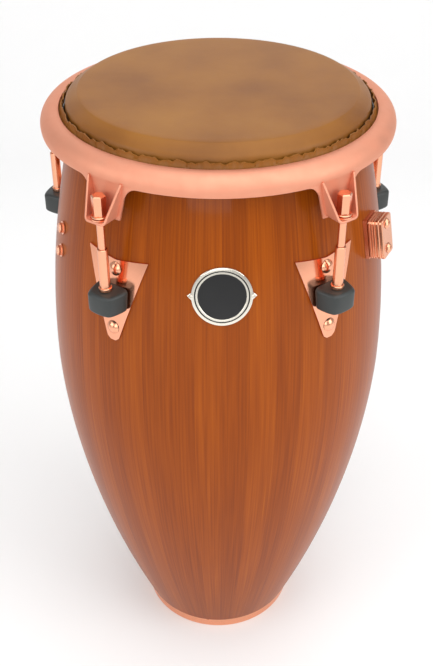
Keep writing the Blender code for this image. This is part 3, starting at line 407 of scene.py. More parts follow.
def lathe_points(profile, segments):
    """Turn a closed (radius, height) outline round Z: x = r cos a, y = r sin a."""
    profile = np.asarray(profile, float)
    turn = np.linspace(0, 2 * math.pi, segments, endpoint=False)
    return np.stack([
        profile[:, :1] * np.cos(turn), profile[:, :1] * np.sin(turn),
        np.repeat(profile[:, 1:], segments, axis=1)], axis=-1)


# %% [markdown]
# ## Pieces
#
# A new piece takes the finish of its slot, hides the CAD nodes that it stands for and rides on their body,
# so that it moves with them.

# %% Add a piece


def add_piece(name, mesh, slot, body, *nodes):
    """Add a shown piece in place of CAD nodes, with its slot's finish, riding on a body."""
    piece = bpy.data.objects.new(name, mesh)
    bpy.context.collection.objects.link(piece)
    mesh.materials.append(finishes[slot])
    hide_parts(*nodes)
    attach(piece, body)
    print(name, "on", body, "faces:", len(mesh.polygons))
    return piece


# %% [markdown]
# ## Shell
#
# The staves are one turned solid: the outside follows the outline, the top is rounded into the bearing edge
# that the hide lies on, and the inside keeps a constant wall. Its foot is thinned to slip into the ring.

# %% Stave shell
SEGMENTS = 240
RING_WALL = 0.003
ring_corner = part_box("base_ring")[1]
RING_RADIUS = ring_corner[0]
RING_HEIGHT = ring_corner[2]
RIM_DROP = 0.010
SEAT_DROP = 0.0021

foot_seat = RING_RADIUS - RING_WALL - GAP
rim_height = HEIGHT - RIM_DROP
seat_height = HEIGHT - SEAT_DROP
rim = shell_radius(rim_height)
outer_heights = np.linspace(RING_HEIGHT + GAP, rim_height, 120)
outer_wall = np.stack([shell_radius(outer_heights), outer_heights], axis=-1)
bearing = soften([
    (rim, rim_height), (rim - 0.0015, seat_height - 0.0035), (rim - 0.0045, seat_height - 0.001),
    (rim - 0.0080, seat_height), (rim - 0.0095, seat_height)], 2)
inner_heights = outer_heights[::-4]
inner_wall = np.stack(
    [np.maximum(shell_radius(inner_heights), foot_seat) - WALL, inner_heights], axis=-1)
foot_edge = [(foot_seat - WALL, 2 * GAP), (foot_seat, 2 * GAP), (foot_seat, RING_HEIGHT + GAP)]
shell_profile = np.concatenate([outer_wall, bearing[1:], inner_wall, foot_edge])
shell_mesh = grid_mesh("stave_shell", lathe_points(shell_profile, SEGMENTS))
add_piece("stave_shell", shell_mesh, "wood", "drum", "shell")

# %% [markdown]
# ## Foot ring
#
# A rolled steel band with eased edges closes the staves' end grain at the floor. It is a lathe turning too.

# %% Foot ring
edge = RING_WALL / 3
ring_outline = [
    (RING_RADIUS, edge), (RING_RADIUS, RING_HEIGHT - edge), (RING_RADIUS - edge, RING_HEIGHT),
    (RING_RADIUS - RING_WALL, RING_HEIGHT), (RING_RADIUS - RING_WALL, 0), (RING_RADIUS - edge, 0)]
ring_mesh = grid_mesh("foot_ring", lathe_points(ring_outline, SEGMENTS))
add_piece("foot_ring", ring_mesh, "rose_steel", "drum", "base_ring")

# %% [markdown]
# ## Head
#
# The wet hide is wrapped round a wire hoop and pulled down over the bearing edge. It dries with a flat top,
# a fold, a sloping wall, a roll over the hoop and a cut edge that stands up in ruffles. A cloth simulation
# could find that shape, but the drum is tuned and nothing hangs loose, so an outline is enough. The ruffles
# are sums of sines round the head, at counts with no common factor so that no repeat shows.

# %% Hide head
HEAD_SEGMENTS = 720
HOOP_CENTRE = np.array([0.1690, HEIGHT - 0.0271])
WRAP_RADIUS = 0.0065
SKIN = 0.0018
HEAD_WALL = 0.1625
CUT_EDGE_RISE = 0.0076
RUFFLES = [(37, 1.0, 0.0), (83, 0.7, 1.3), (149, 0.5, 4.1)]
RUFFLE_RISE = 0.0022
RUFFLE_SWAY = 0.0042
SWAY_COUNT = 61


def head_outline():
    """Return the hide's outline, and the first and last numbers of its cut edge in it."""
    top, fold = HEIGHT, HEAD_RADIUS
    shoulder = [
        (fold - 0.0020, top), (fold + 0.0004, top - 0.0003), (fold + 0.0020, top - 0.0016),
        (HEAD_WALL - 0.0027, top - 0.0072), (HEAD_WALL + 0.0001, top - 0.0115),
        (HEAD_WALL, HOOP_CENTRE[1] + 0.006)]
    outer = np.concatenate([
        [(r, top) for r in np.linspace(0, fold - 0.009, 12)], soften(shoulder, 3),
        arc(HOOP_CENTRE, WRAP_RADIUS, 180, 450, 18)])
    lip = HOOP_CENTRE[0] - 0.0030
    wrap_top = HOOP_CENTRE[1] + WRAP_RADIUS
    cut = [(lip + 0.0006, wrap_top + 0.004), (lip + 0.0004, wrap_top + CUT_EDGE_RISE),
           (lip - 0.0008, wrap_top + CUT_EDGE_RISE), (lip - 0.0008, wrap_top + 0.003)]
    wall = HEAD_WALL + 0.0003 - SKIN
    under = [
        (wall, top - 0.0118), (wall - 0.0020, top - 0.0084), (fold + 0.0026, top - 0.0044),
        (fold - 0.0010, top - 0.0024), (fold - 0.0050, top - SKIN)]
    inner = np.concatenate([
        arc(HOOP_CENTRE, WRAP_RADIUS - SKIN, 450, 180, 18), soften(under, 2),
        [(r, top - SKIN) for r in np.linspace(fold - 0.009, 0, 6)]])
    return np.concatenate([outer, cut, inner]), len(outer), len(outer) + len(cut)


def head_points():
    """Turn the outline and ruffle its cut edge.

    ruffle(a) is the mean of size * sin(count * a + start), weighted by size. The edge's height grows by
    rise * ruffle(a), and its radius by the factor 1 + sway * cos(sway count * a + 2 ruffle(a)).
    """
    outline, first, last = head_outline()
    points = lathe_points(outline, HEAD_SEGMENTS)
    turn = np.arctan2(points[first:last, :, 1], points[first:last, :, 0])
    waves = [size * np.sin(count * turn + start) for count, size, start in RUFFLES]
    ruffle = sum(waves) / sum(size for _, size, _ in RUFFLES)
    points[first:last, :, 2] += RUFFLE_RISE * ruffle
    points[first:last, :, :2] *= (1 + RUFFLE_SWAY * np.cos(SWAY_COUNT * turn + 2.0 * ruffle))[..., None]
    return points


add_piece("hide_head", grid_mesh("hide_head", head_points()), "hide", "drum", "head_skin")

# %% [markdown]
# ## Crown
#
# The crown is the hoop that pulls the head down. Its top is a roll of sheet that is kind to the hands, and
# its skirt is drawn down into an ear at each of the five lugs. The band is one surface: its section changes
# with the azimuth only in how far the skirt hangs, so the skirt's lower edge is a function of the arc
# length from the nearest lug. It is level between the lugs, falls in a cubic fillet, and runs steeply down
# the side of each ear.

# %% Crown band
LUG_COUNT = 5
LUG_AZIMUTHS = np.radians(36 + 72 * np.arange(LUG_COUNT))
BOLT_CIRCLE = 0.200
ROLL_CENTRE = np.array([0.1745, HEIGHT - 0.0325])
ROLL_RADIUS = 0.0155
ROLL_START, ROLL_END = 107, -17
ROLL_STEPS = 24
CROWN_SHEET = 0.0028
CROWN_COLUMNS = 1200
EAR_RADIUS = ROLL_CENTRE[0] + ROLL_RADIUS * math.cos(math.radians(ROLL_END))
EAR_FOOT_HALF = 0.0150
EAR_HALF = 0.0212
FILLET_END = 0.0380
FILLET_DROP = 0.0120
POCKET_FLOOR = HEIGHT - 0.0740
SKIRT_LIFT = 0.0004
HEM_FULLNESS = 0.6


def skirt_height(away):
    """Height of the skirt's edge: level - drop * (1 - s) ** 3 in the fillet, then straight to the floor."""
    level = ROLL_CENTRE[1] + ROLL_RADIUS * math.sin(math.radians(ROLL_END))
    fillet = level - FILLET_DROP
    fillet_share = np.clip((away - EAR_HALF) / (FILLET_END - EAR_HALF), 0, 1)
    ear_share = np.clip((away - EAR_FOOT_HALF) / (EAR_HALF - EAR_FOOT_HALF), 0, 1)
    upper = level - (level - fillet) * (1 - fillet_share) ** 3
    lower = POCKET_FLOOR + (fillet - POCKET_FLOOR) * ear_share
    return np.where(away < EAR_HALF, lower, upper)


def crown_points():
    """The crown's sheet as sections round the axis: roll, skirt, rounded hem and the way back inside."""
    turn = np.linspace(0, 2 * math.pi, CROWN_COLUMNS, endpoint=False)
    pitch = 2 * math.pi / LUG_COUNT
    away = np.abs((turn - LUG_AZIMUTHS[0] + pitch / 2) % pitch - pitch / 2) * EAR_RADIUS
    outer = arc(ROLL_CENTRE, ROLL_RADIUS, ROLL_START, ROLL_END, ROLL_STEPS)
    inner = arc(ROLL_CENTRE, ROLL_RADIUS - CROWN_SHEET, ROLL_END, ROLL_START, ROLL_STEPS)
    lip = arc(ROLL_CENTRE, ROLL_RADIUS - CROWN_SHEET / 2, ROLL_START + 3, ROLL_START + 3, 0)
    low = skirt_height(away) - SKIRT_LIFT
    top = outer[-1, 1]
    fall = np.linspace(0, 1, 8)[1:, None]
    skirt = top + (low - top) * fall
    hem = np.radians([30, 60, 90, 120, 150])[:, None]
    half = CROWN_SHEET / 2
    level = np.ones((1, CROWN_COLUMNS))
    back = np.concatenate([inner, lip])
    radius = np.concatenate([
        outer[:, :1] * level, EAR_RADIUS + 0 * skirt, (EAR_RADIUS - half + half * np.cos(hem)) * level,
        EAR_RADIUS - CROWN_SHEET + 0 * skirt, back[:, :1] * level])
    height = np.concatenate([
        outer[:, 1:] * level, skirt, low - HEM_FULLNESS * half * np.sin(hem),
        skirt[::-1], back[:, 1:] * level])
    return np.stack([radius * np.sin(turn), -radius * np.cos(turn), height], axis=-1)


# %% [markdown]
# ## Crown pockets
#
# A strip bent into a U is welded to the inside of each ear: two cheeks that lean outwards and a floor that
# the tension bolt pulls on. Its front edge slants back to the band, and is eased, because a hand can meet
# it. The strip is a path with a constant wall, swept outwards. The bolt's hole is cut with a Boolean, since
# a hole in the middle of a grid would spoil the grid.

# %% Pockets
HORN_TOP = HEIGHT - 0.0345
POCKET_HALF_FLOOR = 0.0135
POCKET_CORNER = 0.0055
POCKET_SHEET = 0.0025
POCKET_EASE = 0.0005
POCKET_NOSE = BOLT_CIRCLE + 0.0095
POCKET_ROOT = EAR_RADIUS - 0.7 * CROWN_SHEET
HORN_NOSE = EAR_RADIUS + 0.0012
BOLT_HOLE = 0.0044


def local_points(azimuth, points):
    """Turn local points, x outwards, y tangential and z up, to an azimuth from the front."""
    points = np.asarray(points, float)
    x, y, z = points[..., 0], points[..., 1], points[..., 2]
    return np.stack([x * math.sin(azimuth) + y * math.cos(azimuth),
                     -x * math.cos(azimuth) + y * math.sin(azimuth), z], axis=-1)


def pocket_path():
    """Return the U from one horn to the other as (y, z) points, and its outward normals."""
    rise = math.atan((EAR_HALF - POCKET_HALF_FLOOR) / (HORN_TOP - POCKET_FLOOR))
    bend = np.linspace(-math.pi / 2, -rise, 9)
    centre = np.array([POCKET_HALF_FLOOR - POCKET_CORNER, POCKET_FLOOR + POCKET_CORNER])
    normal = np.stack([np.cos(bend), np.sin(bend)], axis=-1)
    corner = centre + POCKET_CORNER * normal
    steps = np.linspace(0, 1, 7)[1:, None]
    cheek = corner[-1] + (np.array([EAR_HALF, HORN_TOP]) - corner[-1]) * steps
    right = np.concatenate([corner, cheek])
    normal = np.concatenate([normal, np.repeat(normal[-1:], len(cheek), axis=0)])
    return np.concatenate([right[::-1] * (-1, 1), right]), np.concatenate([normal[::-1] * (-1, 1), normal])


def pocket_points():
    """Sweep the U outwards: each point of the path gives a loop from the band to the front and back."""
    path, facing = pocket_path()
    share = (path[:, 1] - POCKET_FLOOR) / (HORN_TOP - POCKET_FLOOR)
    front = POCKET_NOSE + (HORN_NOSE - POCKET_NOSE) * share
    inside = path - facing * POCKET_SHEET
    loop = []
    for depth, blend in ((POCKET_ROOT, 0.0), (front - POCKET_EASE, 0.0), (front, 0.25),
                         (front, 0.75), (front - POCKET_EASE, 1.0), (POCKET_ROOT, 1.0)):
        place = path * (1 - blend) + inside * blend
        loop.append(np.stack([depth + 0 * share, place[:, 0], place[:, 1]], axis=-1))
    return np.stack(loop, axis=1)


def drilled(mesh, azimuth):
    """Return a pocket's mesh with the bolt's hole cut through its floor."""
    low, high = POCKET_FLOOR - BOLT_HOLE, POCKET_FLOOR + BOLT_HOLE
    bit = lathe_points([(0, low), (BOLT_HOLE, low), (BOLT_HOLE, high), (0, high)], 32)
    bit[..., 0] += BOLT_CIRCLE
    pair = [bpy.data.objects.new("pocket", mesh),
            bpy.data.objects.new("drill", grid_mesh("drill", local_points(azimuth, bit)))]
    for item in pair:
        bpy.context.collection.objects.link(item)
    cut = pair[0].modifiers.new("hole", "BOOLEAN")
    cut.operation = "DIFFERENCE"
    cut.solver = "EXACT"
    cut.object = pair[1]
    shape = bpy.data.meshes.new_from_object(pair[0].evaluated_get(bpy.context.evaluated_depsgraph_get()))
    for item in pair:
        data = item.data
        bpy.data.objects.remove(item)
        bpy.data.meshes.remove(data)
    return shape


# %% Join the crown
crown_parts = [grid_mesh("band", crown_points())]
crown_parts += [
    drilled(capped("pocket", local_points(azimuth, pocket_points())), azimuth) for azimuth in LUG_AZIMUTHS]
add_piece("rolled_crown", joined("rolled_crown", crown_parts), "rose_steel:satin", "crown_body", "crown")

# %% [markdown]
# ## Tension bolts
#
# Each lug has one bolt: a tall hexagon head with its corners turned off, a flange, a washer in the pocket
# and a long shank. Turned parts share one function that lathes an outline on the bolt's axis. The bolt's
# heights follow from the pocket's floor, so that nothing hovers when the floor moves.

# %% Bolt and washer
ROD_SEGMENTS = 48
FLOOR_TOP = POCKET_FLOOR + POCKET_SHEET
WASHER_WALL = 0.0014
WASHER = (FLOOR_TOP + GAP, FLOOR_TOP + GAP + WASHER_WALL)
WASHER_RADIUS = 0.0092
FLANGE_WALL = 0.0020
FLANGE = (WASHER[1] + GAP, WASHER[1] + GAP + FLANGE_WALL)
FLANGE_RADIUS = 0.0086
HEXAGON = 0.0127
HEXAGON_HEIGHT = 0.0212
HEXAGON_BEVEL = 0.0012
CORNER_TURNED_TO = 0.84
SHANK_RADIUS = 0.0040
SHANK_END = POCKET_FLOOR - 0.0560
SUNK = 0.0005
FLANGE_EASE = 0.0006
SHANK_EASE = 0.0008


def rod_points(azimuth, profile):
    """A turned solid on the bolt's axis of a lug, from a closed (radius, height) outline."""
    points = lathe_points(profile, ROD_SEGMENTS)
    points[..., 0] += BOLT_CIRCLE
    return local_points(azimuth, points)


def eased(radius, low, high, ease):
    """Outline of a round bar or disc with eased edges, from axis to axis."""
    return [(0, low), (radius - ease, low), (radius, low + ease),
            (radius, high - ease), (radius - ease, high), (0, high)]


def hexagon_loops(across_flats, low, high, bevel):
    """Three hexagons, corner = across flats / sqrt 3, the last one smaller, as its corners are turned off."""
    corner = across_flats / math.sqrt(3)
    turn = np.arange(6) * math.pi / 3
    return np.array([
        np.stack([radius * np.cos(turn), radius * np.sin(turn), np.full(6, height)], axis=-1)
        for radius, height in ((corner, low), (corner, high - bevel), (corner * CORNER_TURNED_TO, high))])


def bolt_mesh(azimuth):
    """Hexagon head, flange and shank of a tension bolt, each sunk a little into the next."""
    head = hexagon_loops(HEXAGON, FLANGE[1] - SUNK, FLANGE[1] + HEXAGON_HEIGHT, HEXAGON_BEVEL)
    head[..., 0] += BOLT_CIRCLE
    shank = eased(SHANK_RADIUS, SHANK_END, FLANGE[0] + SUNK, SHANK_EASE)
    return joined("tension_bolt", [
        capped("hexagon", local_points(azimuth, head)),
        grid_mesh("flange", rod_points(azimuth, eased(FLANGE_RADIUS, *FLANGE, FLANGE_EASE))),
        grid_mesh("shank", rod_points(azimuth, shank))])


for number, azimuth in enumerate(LUG_AZIMUTHS, 1):
    washer = [(BOLT_HOLE, WASHER[0]), (WASHER_RADIUS, WASHER[0]),
              (WASHER_RADIUS, WASHER[1]), (BOLT_HOLE, WASHER[1])]
    add_piece(f"washer_{number}", grid_mesh("washer", rod_points(azimuth, washer)), "rose_steel",
              "crown_body", f"bolt_washer_{number}")
    add_piece(f"hexagon_bolt_{number}", bolt_mesh(azimuth), "rose_steel",
              f"bolt_{number}", f"tension_bolt_{number}")

# %% [markdown]
# ## Receivers
#
# The bolt screws into a tube that hangs in the plate's tab. The tube has a ferrule over the rubber, a neck
# through the tab and a foot under it that takes the pull. One closed outline holds them all, bore included.

# %% Receivers
RECEIVER_TOP = HEIGHT - 0.1050
RECEIVER_BORE_DEPTH = 0.030
TAB_TOP = HEIGHT - 0.1615
TAB_WALL = 0.0040
FOOT_HEIGHT = 0.0040
BLOCK_TOP = HEIGHT - 0.1540
FERRULE_HEIGHT = 0.0042
FERRULE_RADIUS = 0.0068
TUBE_RADIUS = 0.0055
FOOT_FLANGE_RADIUS = 0.0070
NECK_RADIUS = 0.0047
TUBE_EASE = 0.0006


def receiver_profile():
    """Outline of the receiver, up the outside from its foot and down its bore."""
    ferrule = (BLOCK_TOP + GAP, BLOCK_TOP + GAP + FERRULE_HEIGHT)
    foot_top = TAB_TOP - TAB_WALL - GAP
    foot = (foot_top - FOOT_HEIGHT, foot_top)
    bore_end = RECEIVER_TOP - RECEIVER_BORE_DEPTH
    return [
        (0, foot[0]), (FOOT_FLANGE_RADIUS, foot[0]), (FOOT_FLANGE_RADIUS, foot[1]), (NECK_RADIUS, foot[1]),
        (NECK_RADIUS, ferrule[0]), (FERRULE_RADIUS - TUBE_EASE, ferrule[0]),
        (FERRULE_RADIUS, ferrule[0] + TUBE_EASE), (FERRULE_RADIUS, ferrule[1] - TUBE_EASE),
        (FERRULE_RADIUS - TUBE_EASE, ferrule[1]), (TUBE_RADIUS, ferrule[1]),
        (TUBE_RADIUS, RECEIVER_TOP - TUBE_EASE), (TUBE_RADIUS - TUBE_EASE, RECEIVER_TOP),
        (BOLT_HOLE, RECEIVER_TOP), (BOLT_HOLE, bore_end), (0, bore_end)]


for number, azimuth in enumerate(LUG_AZIMUTHS, 1):
    receiver = grid_mesh("receiver", rod_points(azimuth, receiver_profile()))
    add_piece(f"receiver_{number}", receiver, "rose_steel", "drum", f"lug_receiver_{number}")

# %% [markdown]
# ## Rubber blocks
#
# A rubber block covers each tab so that a knee doesn't meet steel. It is a wedge, wide at the plate and
# narrow at its nose, rounded all round. Its plan is one softened outline, stacked through the height with
# an inset that follows a quarter circle at the top and at the bottom.

# %% Rubber blocks
PLATE_WALL = 0.0020
BLOCK_HEIGHT = 0.0235
BLOCK_BOTTOM = BLOCK_TOP - BLOCK_HEIGHT
BLOCK_ROUNDING = 0.0036
BLOCK_NOSE = BOLT_CIRCLE + 0.0145


def block_points():
    """Loops of the block: inset = rounding * (1 - sin a), depth = rounding * (1 - cos a), at either end."""
    turn = np.radians(np.linspace(0, 90, 9))
    depth = BLOCK_ROUNDING * (1 - np.cos(turn))
    inward = BLOCK_ROUNDING * (1 - np.sin(turn))
    heights = np.concatenate([BLOCK_BOTTOM + depth, BLOCK_TOP - depth[::-1]])
    loops = []
    for height, inset in zip(heights, np.concatenate([inward, inward[::-1]])):
        rear = float(shell_radius(height)) + 2 * GAP + PLATE_WALL
        front = BLOCK_NOSE - inset
        side = [(rear, 0.0180 - inset), (rear + 0.003, 0.0200 - inset),
                (front - 0.0055, 0.0160 - 0.8 * inset), (front, 0.0115 - 0.8 * inset)]
        outline = soften(side + [(x, -y) for x, y in side[::-1]], 3, closed=True)
        loops.append(np.column_stack([outline, np.full(len(outline), height)]))
    return np.array(loops)


for number, azimuth in enumerate(LUG_AZIMUTHS, 1):
    block = capped("rubber_block", local_points(azimuth, block_points()))
    add_piece(f"rubber_block_{number}", block, "rubber", "drum", f"lug_protector_{number}")

# %% [markdown]
# ## Side plates
#
# A dart of polished steel spreads the pull of each lug over several staves. It is bent to the shell, so its
# grid is laid out flat, in arc length and height, and then put on the shell by the same function as
# everything there. Its top edge dips in a shallow V and its tip is rounded.

# %% Dart plates
PLATE_ROWS, PLATE_COLUMNS = 32, 24
PLATE_TOP = HEIGHT - 0.1220
PLATE_TIP = HEIGHT - 0.2185
PLATE_HALF_TOP = 0.03775
PLATE_HALF_TIP = 0.0065
NOTCH_DEPTH = 0.0050
TIP_SHARE = 0.045
TIP_ROUNDING = 0.75


def plate_points(azimuth):
    """Closed sections from top to tip.

    The half width falls evenly, and near the tip it is also multiplied by sqrt(1 - rounding * t ** 2).
    """
    across = np.linspace(-1, 1, PLATE_COLUMNS)
    sections = []
    for share in np.linspace(0, 1, PLATE_ROWS):
        half = PLATE_HALF_TOP * (1 - share) + PLATE_HALF_TIP * share
        into_tip = max(0.0, (share - 1 + TIP_SHARE) / TIP_SHARE)
        half *= math.sqrt(1 - into_tip ** 2 * TIP_ROUNDING)
        top = PLATE_TOP - NOTCH_DEPTH * (1 - np.abs(across))
        height = top + (PLATE_TIP - top) * share
        front = on_shell(azimuth, across * half, height, GAP + PLATE_WALL)
        back = on_shell(azimuth, across * half, height, GAP)[::-1]
        sections.append(np.concatenate([front, back]))
    return np.array(sections)


for number, azimuth in enumerate(LUG_AZIMUTHS, 1):
    plate = capped("dart_plate", plate_points(azimuth))
    add_piece(f"dart_plate_{number}", plate, "rose_steel:polished", "drum", f"side_plate_{number}")

# %% [markdown]
# ## Domed bolts
#
# Two bolts with domed heads hold each plate. They stand square to the shell, which leans at their height,
# so they are turned about the shell's normal. The dome is a cap of a sphere: ball radius = (radius ** 2 +
# rise ** 2) / (2 * rise).

# %% Domed bolts
DOME_DROPS = {"upper": 0.1370, "lower": 0.2035}
DOME_RADIUS = 0.0075
DOME_RISE = 0.0036
PIN_RADIUS = 0.0032
PIN_LENGTH = 0.0238
PIN_SEGMENTS = 32
SLOPE_STEP = 0.001


def on_normal(azimuth, height, points):
    """Place points whose first value runs along the normal: tan(lean) = fall of the radius / rise."""
    narrowing = float(shell_radius(height - SLOPE_STEP) - shell_radius(height + SLOPE_STEP))
    lean = math.atan(narrowing / (2 * SLOPE_STEP))
    out = np.array([
        math.cos(lean) * math.sin(azimuth), -math.cos(lean) * math.cos(azimuth), math.sin(lean)])
    side = np.array([math.cos(azimuth), math.sin(azimuth), 0.0])
    up = np.cross(out, side)
    radius = float(shell_radius(height))
    seat = np.array([radius * math.sin(azimuth), -radius * math.cos(azimuth), height])
    return seat + points[..., :1] * out + points[..., 1:2] * side + points[..., 2:] * up


def domed_points(azimuth, height):
    """A domed head on a pin, turned about the shell's normal and seated on the plate."""
    seat = 2 * GAP + PLATE_WALL
    ball = (DOME_RADIUS ** 2 + DOME_RISE ** 2) / (2 * DOME_RISE)
    lift = np.linspace(0, DOME_RISE, 10)
    reach = np.sqrt(np.maximum(ball ** 2 - (lift + ball - DOME_RISE) ** 2, 0.0))
    pin = [(0, seat - PIN_LENGTH), (PIN_RADIUS, seat - PIN_LENGTH), (PIN_RADIUS, seat)]
    points = lathe_points(np.concatenate([pin, np.stack([reach, seat + lift], axis=-1)]), PIN_SEGMENTS)
    return on_normal(azimuth, height, points[..., [2, 0, 1]])


for number, azimuth in enumerate(LUG_AZIMUTHS, 1):
    for place, drop in DOME_DROPS.items():
        dome = grid_mesh("domed_bolt", domed_points(azimuth, HEIGHT - drop))
        add_piece(f"domed_bolt_{place}_{number}", dome, "rose_steel",
                  "drum", f"carriage_bolt_{place}_{number}")

# %% [markdown]
# ## Badge
#
# The badge is a nickel disc bent to the shell, with a pointed ear at either side, a raised outer ring, a
# groove, a thin raised ring and a flat field of black enamel. It is left without lettering. The relief is a
# short list of (distance, lift) steps, swept round the middle.

# %% Badge relief
BADGE_HEIGHT = HEIGHT - 0.1495
BADGE_RADIUS = 0.0311
BADGE_SEGMENTS = 256
RING_FOOT = 0.0279
EAR_REACH = 0.0040
EAR_ANGLE = 0.125
RELIEF = [
    (0.0, 0.0010), (0.0120, 0.0010), (0.0244, 0.0010), (0.0247, 0.0014), (0.0267, 0.0014), (0.0269, 0.0009),
    (0.0276, 0.0009), (RING_FOOT, 0.0016), (0.0300, 0.0016), (0.0308, 0.0014), (BADGE_RADIUS, 0.0009),
    (BADGE_RADIUS, 0.0), (0.0150, 0.0), (0.0, 0.0)]


def badge_points():
    """Rings from the middle to the edge and back: reach = distance + ear, which grows outside the groove."""
    turn = np.linspace(0, 2 * math.pi, BADGE_SEGMENTS, endpoint=False)
    from_ear = np.abs((turn + math.pi / 2) % math.pi - math.pi / 2)
    ear = EAR_REACH * np.clip(1 - from_ear / EAR_ANGLE, 0, 1)
    distance, lift = np.array(RELIEF).T[..., None]
    reach = distance + ear * np.maximum(0.0, (distance - RING_FOOT) / (BADGE_RADIUS - RING_FOOT))
    return on_shell(0.0, reach * np.cos(turn), BADGE_HEIGHT + reach * np.sin(turn), GAP + lift)


# %% [markdown]
# ## Enamel
#
# Enamel is glass, so it isn't metallic, and it fills the field and the groove. Both are found from the
# distance to the badge's middle, so no second object is needed.

# %% Enamel badge
FIELD_RADIUS = 0.0245
GROOVE_RADIUS = 0.02725
GROOVE_HALF = 0.0006


def enamel_badge():
    """Nickel with black enamel: distance = sqrt(x ** 2 + (z - middle) ** 2), dark in field and groove."""
    made, tree, shader, place = new_material("nickel_and_black_enamel")
    axes = add_node(tree, "ShaderNodeSeparateXYZ", {"Vector": place}).outputs
    rise = add_node(tree, "ShaderNodeMath", {0: axes["Z"], 1: BADGE_HEIGHT}, operation="SUBTRACT")
    square = add_node(tree, "ShaderNodeMath", {0: rise, 1: 2.0}, operation="POWER")
    total = add_node(
        tree, "ShaderNodeMath", {0: axes["X"], 1: axes["X"], 2: square}, operation="MULTIPLY_ADD")
    distance = add_node(tree, "ShaderNodeMath", {0: total}, operation="SQRT")
    field = add_node(tree, "ShaderNodeMath", {0: distance, 1: FIELD_RADIUS}, operation="LESS_THAN")
    groove = add_node(
        tree, "ShaderNodeMath", {0: distance, 1: GROOVE_RADIUS, 2: GROOVE_HALF}, operation="COMPARE")
    dark = add_node(tree, "ShaderNodeMath", {0: field, 1: groove}, operation="MAXIMUM")
    tone = add_node(tree, "ShaderNodeValToRGB", {"Fac": dark}, stops=[(0.0, "#E4DFD2"), (1.0, "#0C0C0D")])
    metallic = add_node(tree, "ShaderNodeMath", {0: 1.0, 1: dark}, operation="SUBTRACT")
    set_inputs(tree, shader, {"Base Color": tone, "Metallic": metallic, "Roughness": 0.25})
    return made


finishes["badge_metal:enamel"] = enamel_badge()
badge_mesh = grid_mesh("round_badge", badge_points(), closed_rows=False)
add_piece("round_badge", badge_mesh, "badge_metal:enamel", "drum", "badge")

# %% [markdown]
# ## Backdrop
#
# A catalogue picture stands on white paper that curves up behind the object, so that no horizon shows. The
# curve is a quarter circle, from the floor to the wall.

# %% Backdrop
FLOOR_HALF_WIDTH = 3.0
FLOOR_FRONT = -4.0
BACKDROP_DISTANCE = 2.2
BACKDROP_HEIGHT = 3.0
COVE_RADIUS = 0.8


def backdrop_mesh():
    """A sheet: y = wall - cove + cove * sin a, z = cove * (1 - cos a), between the floor and the wall."""
    turn = np.linspace(0, math.pi / 2, 17)
    y = np.concatenate([
        [FLOOR_FRONT], BACKDROP_DISTANCE - COVE_RADIUS + COVE_RADIUS * np.sin(turn), [BACKDROP_DISTANCE]])
    z = np.concatenate([[0.0], COVE_RADIUS * (1 - np.cos(turn)), [BACKDROP_HEIGHT]])
    x = np.array([-FLOOR_HALF_WIDTH, FLOOR_HALF_WIDTH])
    points = np.stack([x + 0 * y[:, None], y[:, None] + 0 * x, z[:, None] + 0 * x], axis=-1)
    row = 2 * np.arange(len(y) - 1)[:, None]
    mesh = bpy.data.meshes.new("backdrop")
    mesh.from_pydata(points.reshape(-1, 3), [], row + np.array([0, 1, 3, 2]))
    mesh.shade_smooth()
    return mesh


backdrop = bpy.data.objects.new("backdrop", backdrop_mesh())
bpy.context.collection.objects.link(backdrop)
paper, paper_tree, paper_shader, _ = new_material("white_paper")
set_inputs(paper_tree, paper_shader, {"Base Color": colour("#F4F4F4"), "Roughness": 0.9})
backdrop.data.materials.append(paper)

# %% [markdown]
# ## Lamps
#
# A wide lamp overhead gives the soft shadow at the foot, a smaller one in front lifts the wood under the
# crown, and one at either side draws the long highlights on the varnish. A white world fills the rest.

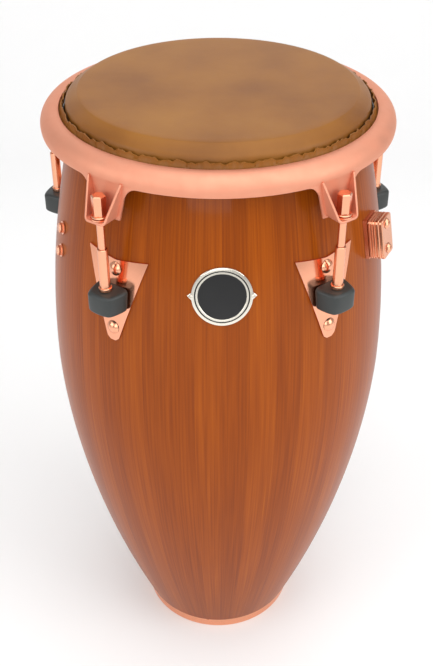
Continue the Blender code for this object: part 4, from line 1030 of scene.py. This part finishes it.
# %% Lamps and world
WORLD_STRENGTH = 0.5
LAMPS = {
    "overhead_lamp": ((0.3, -0.5, 2.6), 3.0, 46.0),
    "front_lamp": ((-0.3, -2.4, 1.3), 1.4, 14.0),
    "left_lamp": ((-2.2, -1.2, 1.4), 1.6, 18.0),
    "right_lamp": ((2.2, -1.2, 1.4), 1.6, 22.0),
}


def add_lamp(name, place, size, power):
    """Add a square area lamp that points at the middle of the drum."""
    data = bpy.data.lights.new(name, "AREA")
    data.size = size
    data.energy = power
    lamp = bpy.data.objects.new(name, data)
    bpy.context.collection.objects.link(lamp)
    aim = np.array([0, 0, (packed_low[2] + packed_high[2]) / 2]) - np.array(place)
    lamp.location = place
    lamp.rotation_euler = (
        math.atan2(math.hypot(aim[0], aim[1]), -aim[2]), 0, math.atan2(aim[1], aim[0]) - math.pi / 2)


for name, (place, size, power) in LAMPS.items():
    add_lamp(name, place, size, power)

world = bpy.data.worlds.new("studio")
world.use_nodes = True
set_inputs(world.node_tree, world.node_tree.nodes["Background"], {
    "Color": colour("#FFFFFF"), "Strength": WORLD_STRENGTH})
bpy.context.scene.world = world

# %% [markdown]
# ## Camera
#
# The camera stands close before the drum and above it, and looks down at about 35 degrees. That is why the
# belly looks wider than it is and the foot looks small.

# %% Camera
CAMERA_DISTANCE = 0.995
CAMERA_HEIGHT = 1.143
CAMERA_PITCH = math.radians(35.29)
CAMERA_TURN = math.radians(-1.2)
FOCAL_LENGTH = 52.7
SENSOR_HEIGHT = 36.0
SIDE_SHIFT = -0.0027

camera_data = bpy.data.cameras.new("camera")
camera_data.sensor_fit = "VERTICAL"
camera_data.sensor_height = SENSOR_HEIGHT
camera_data.lens = FOCAL_LENGTH
camera_data.shift_x = SIDE_SHIFT
camera = bpy.data.objects.new("camera", camera_data)
camera.location = (
    CAMERA_DISTANCE * math.sin(CAMERA_TURN), -CAMERA_DISTANCE * math.cos(CAMERA_TURN), CAMERA_HEIGHT)
camera.rotation_euler = (math.pi / 2 - CAMERA_PITCH, 0, CAMERA_TURN)
bpy.context.collection.objects.link(camera)
bpy.context.scene.camera = camera
bpy.context.scene.view_settings.view_transform = "Standard"
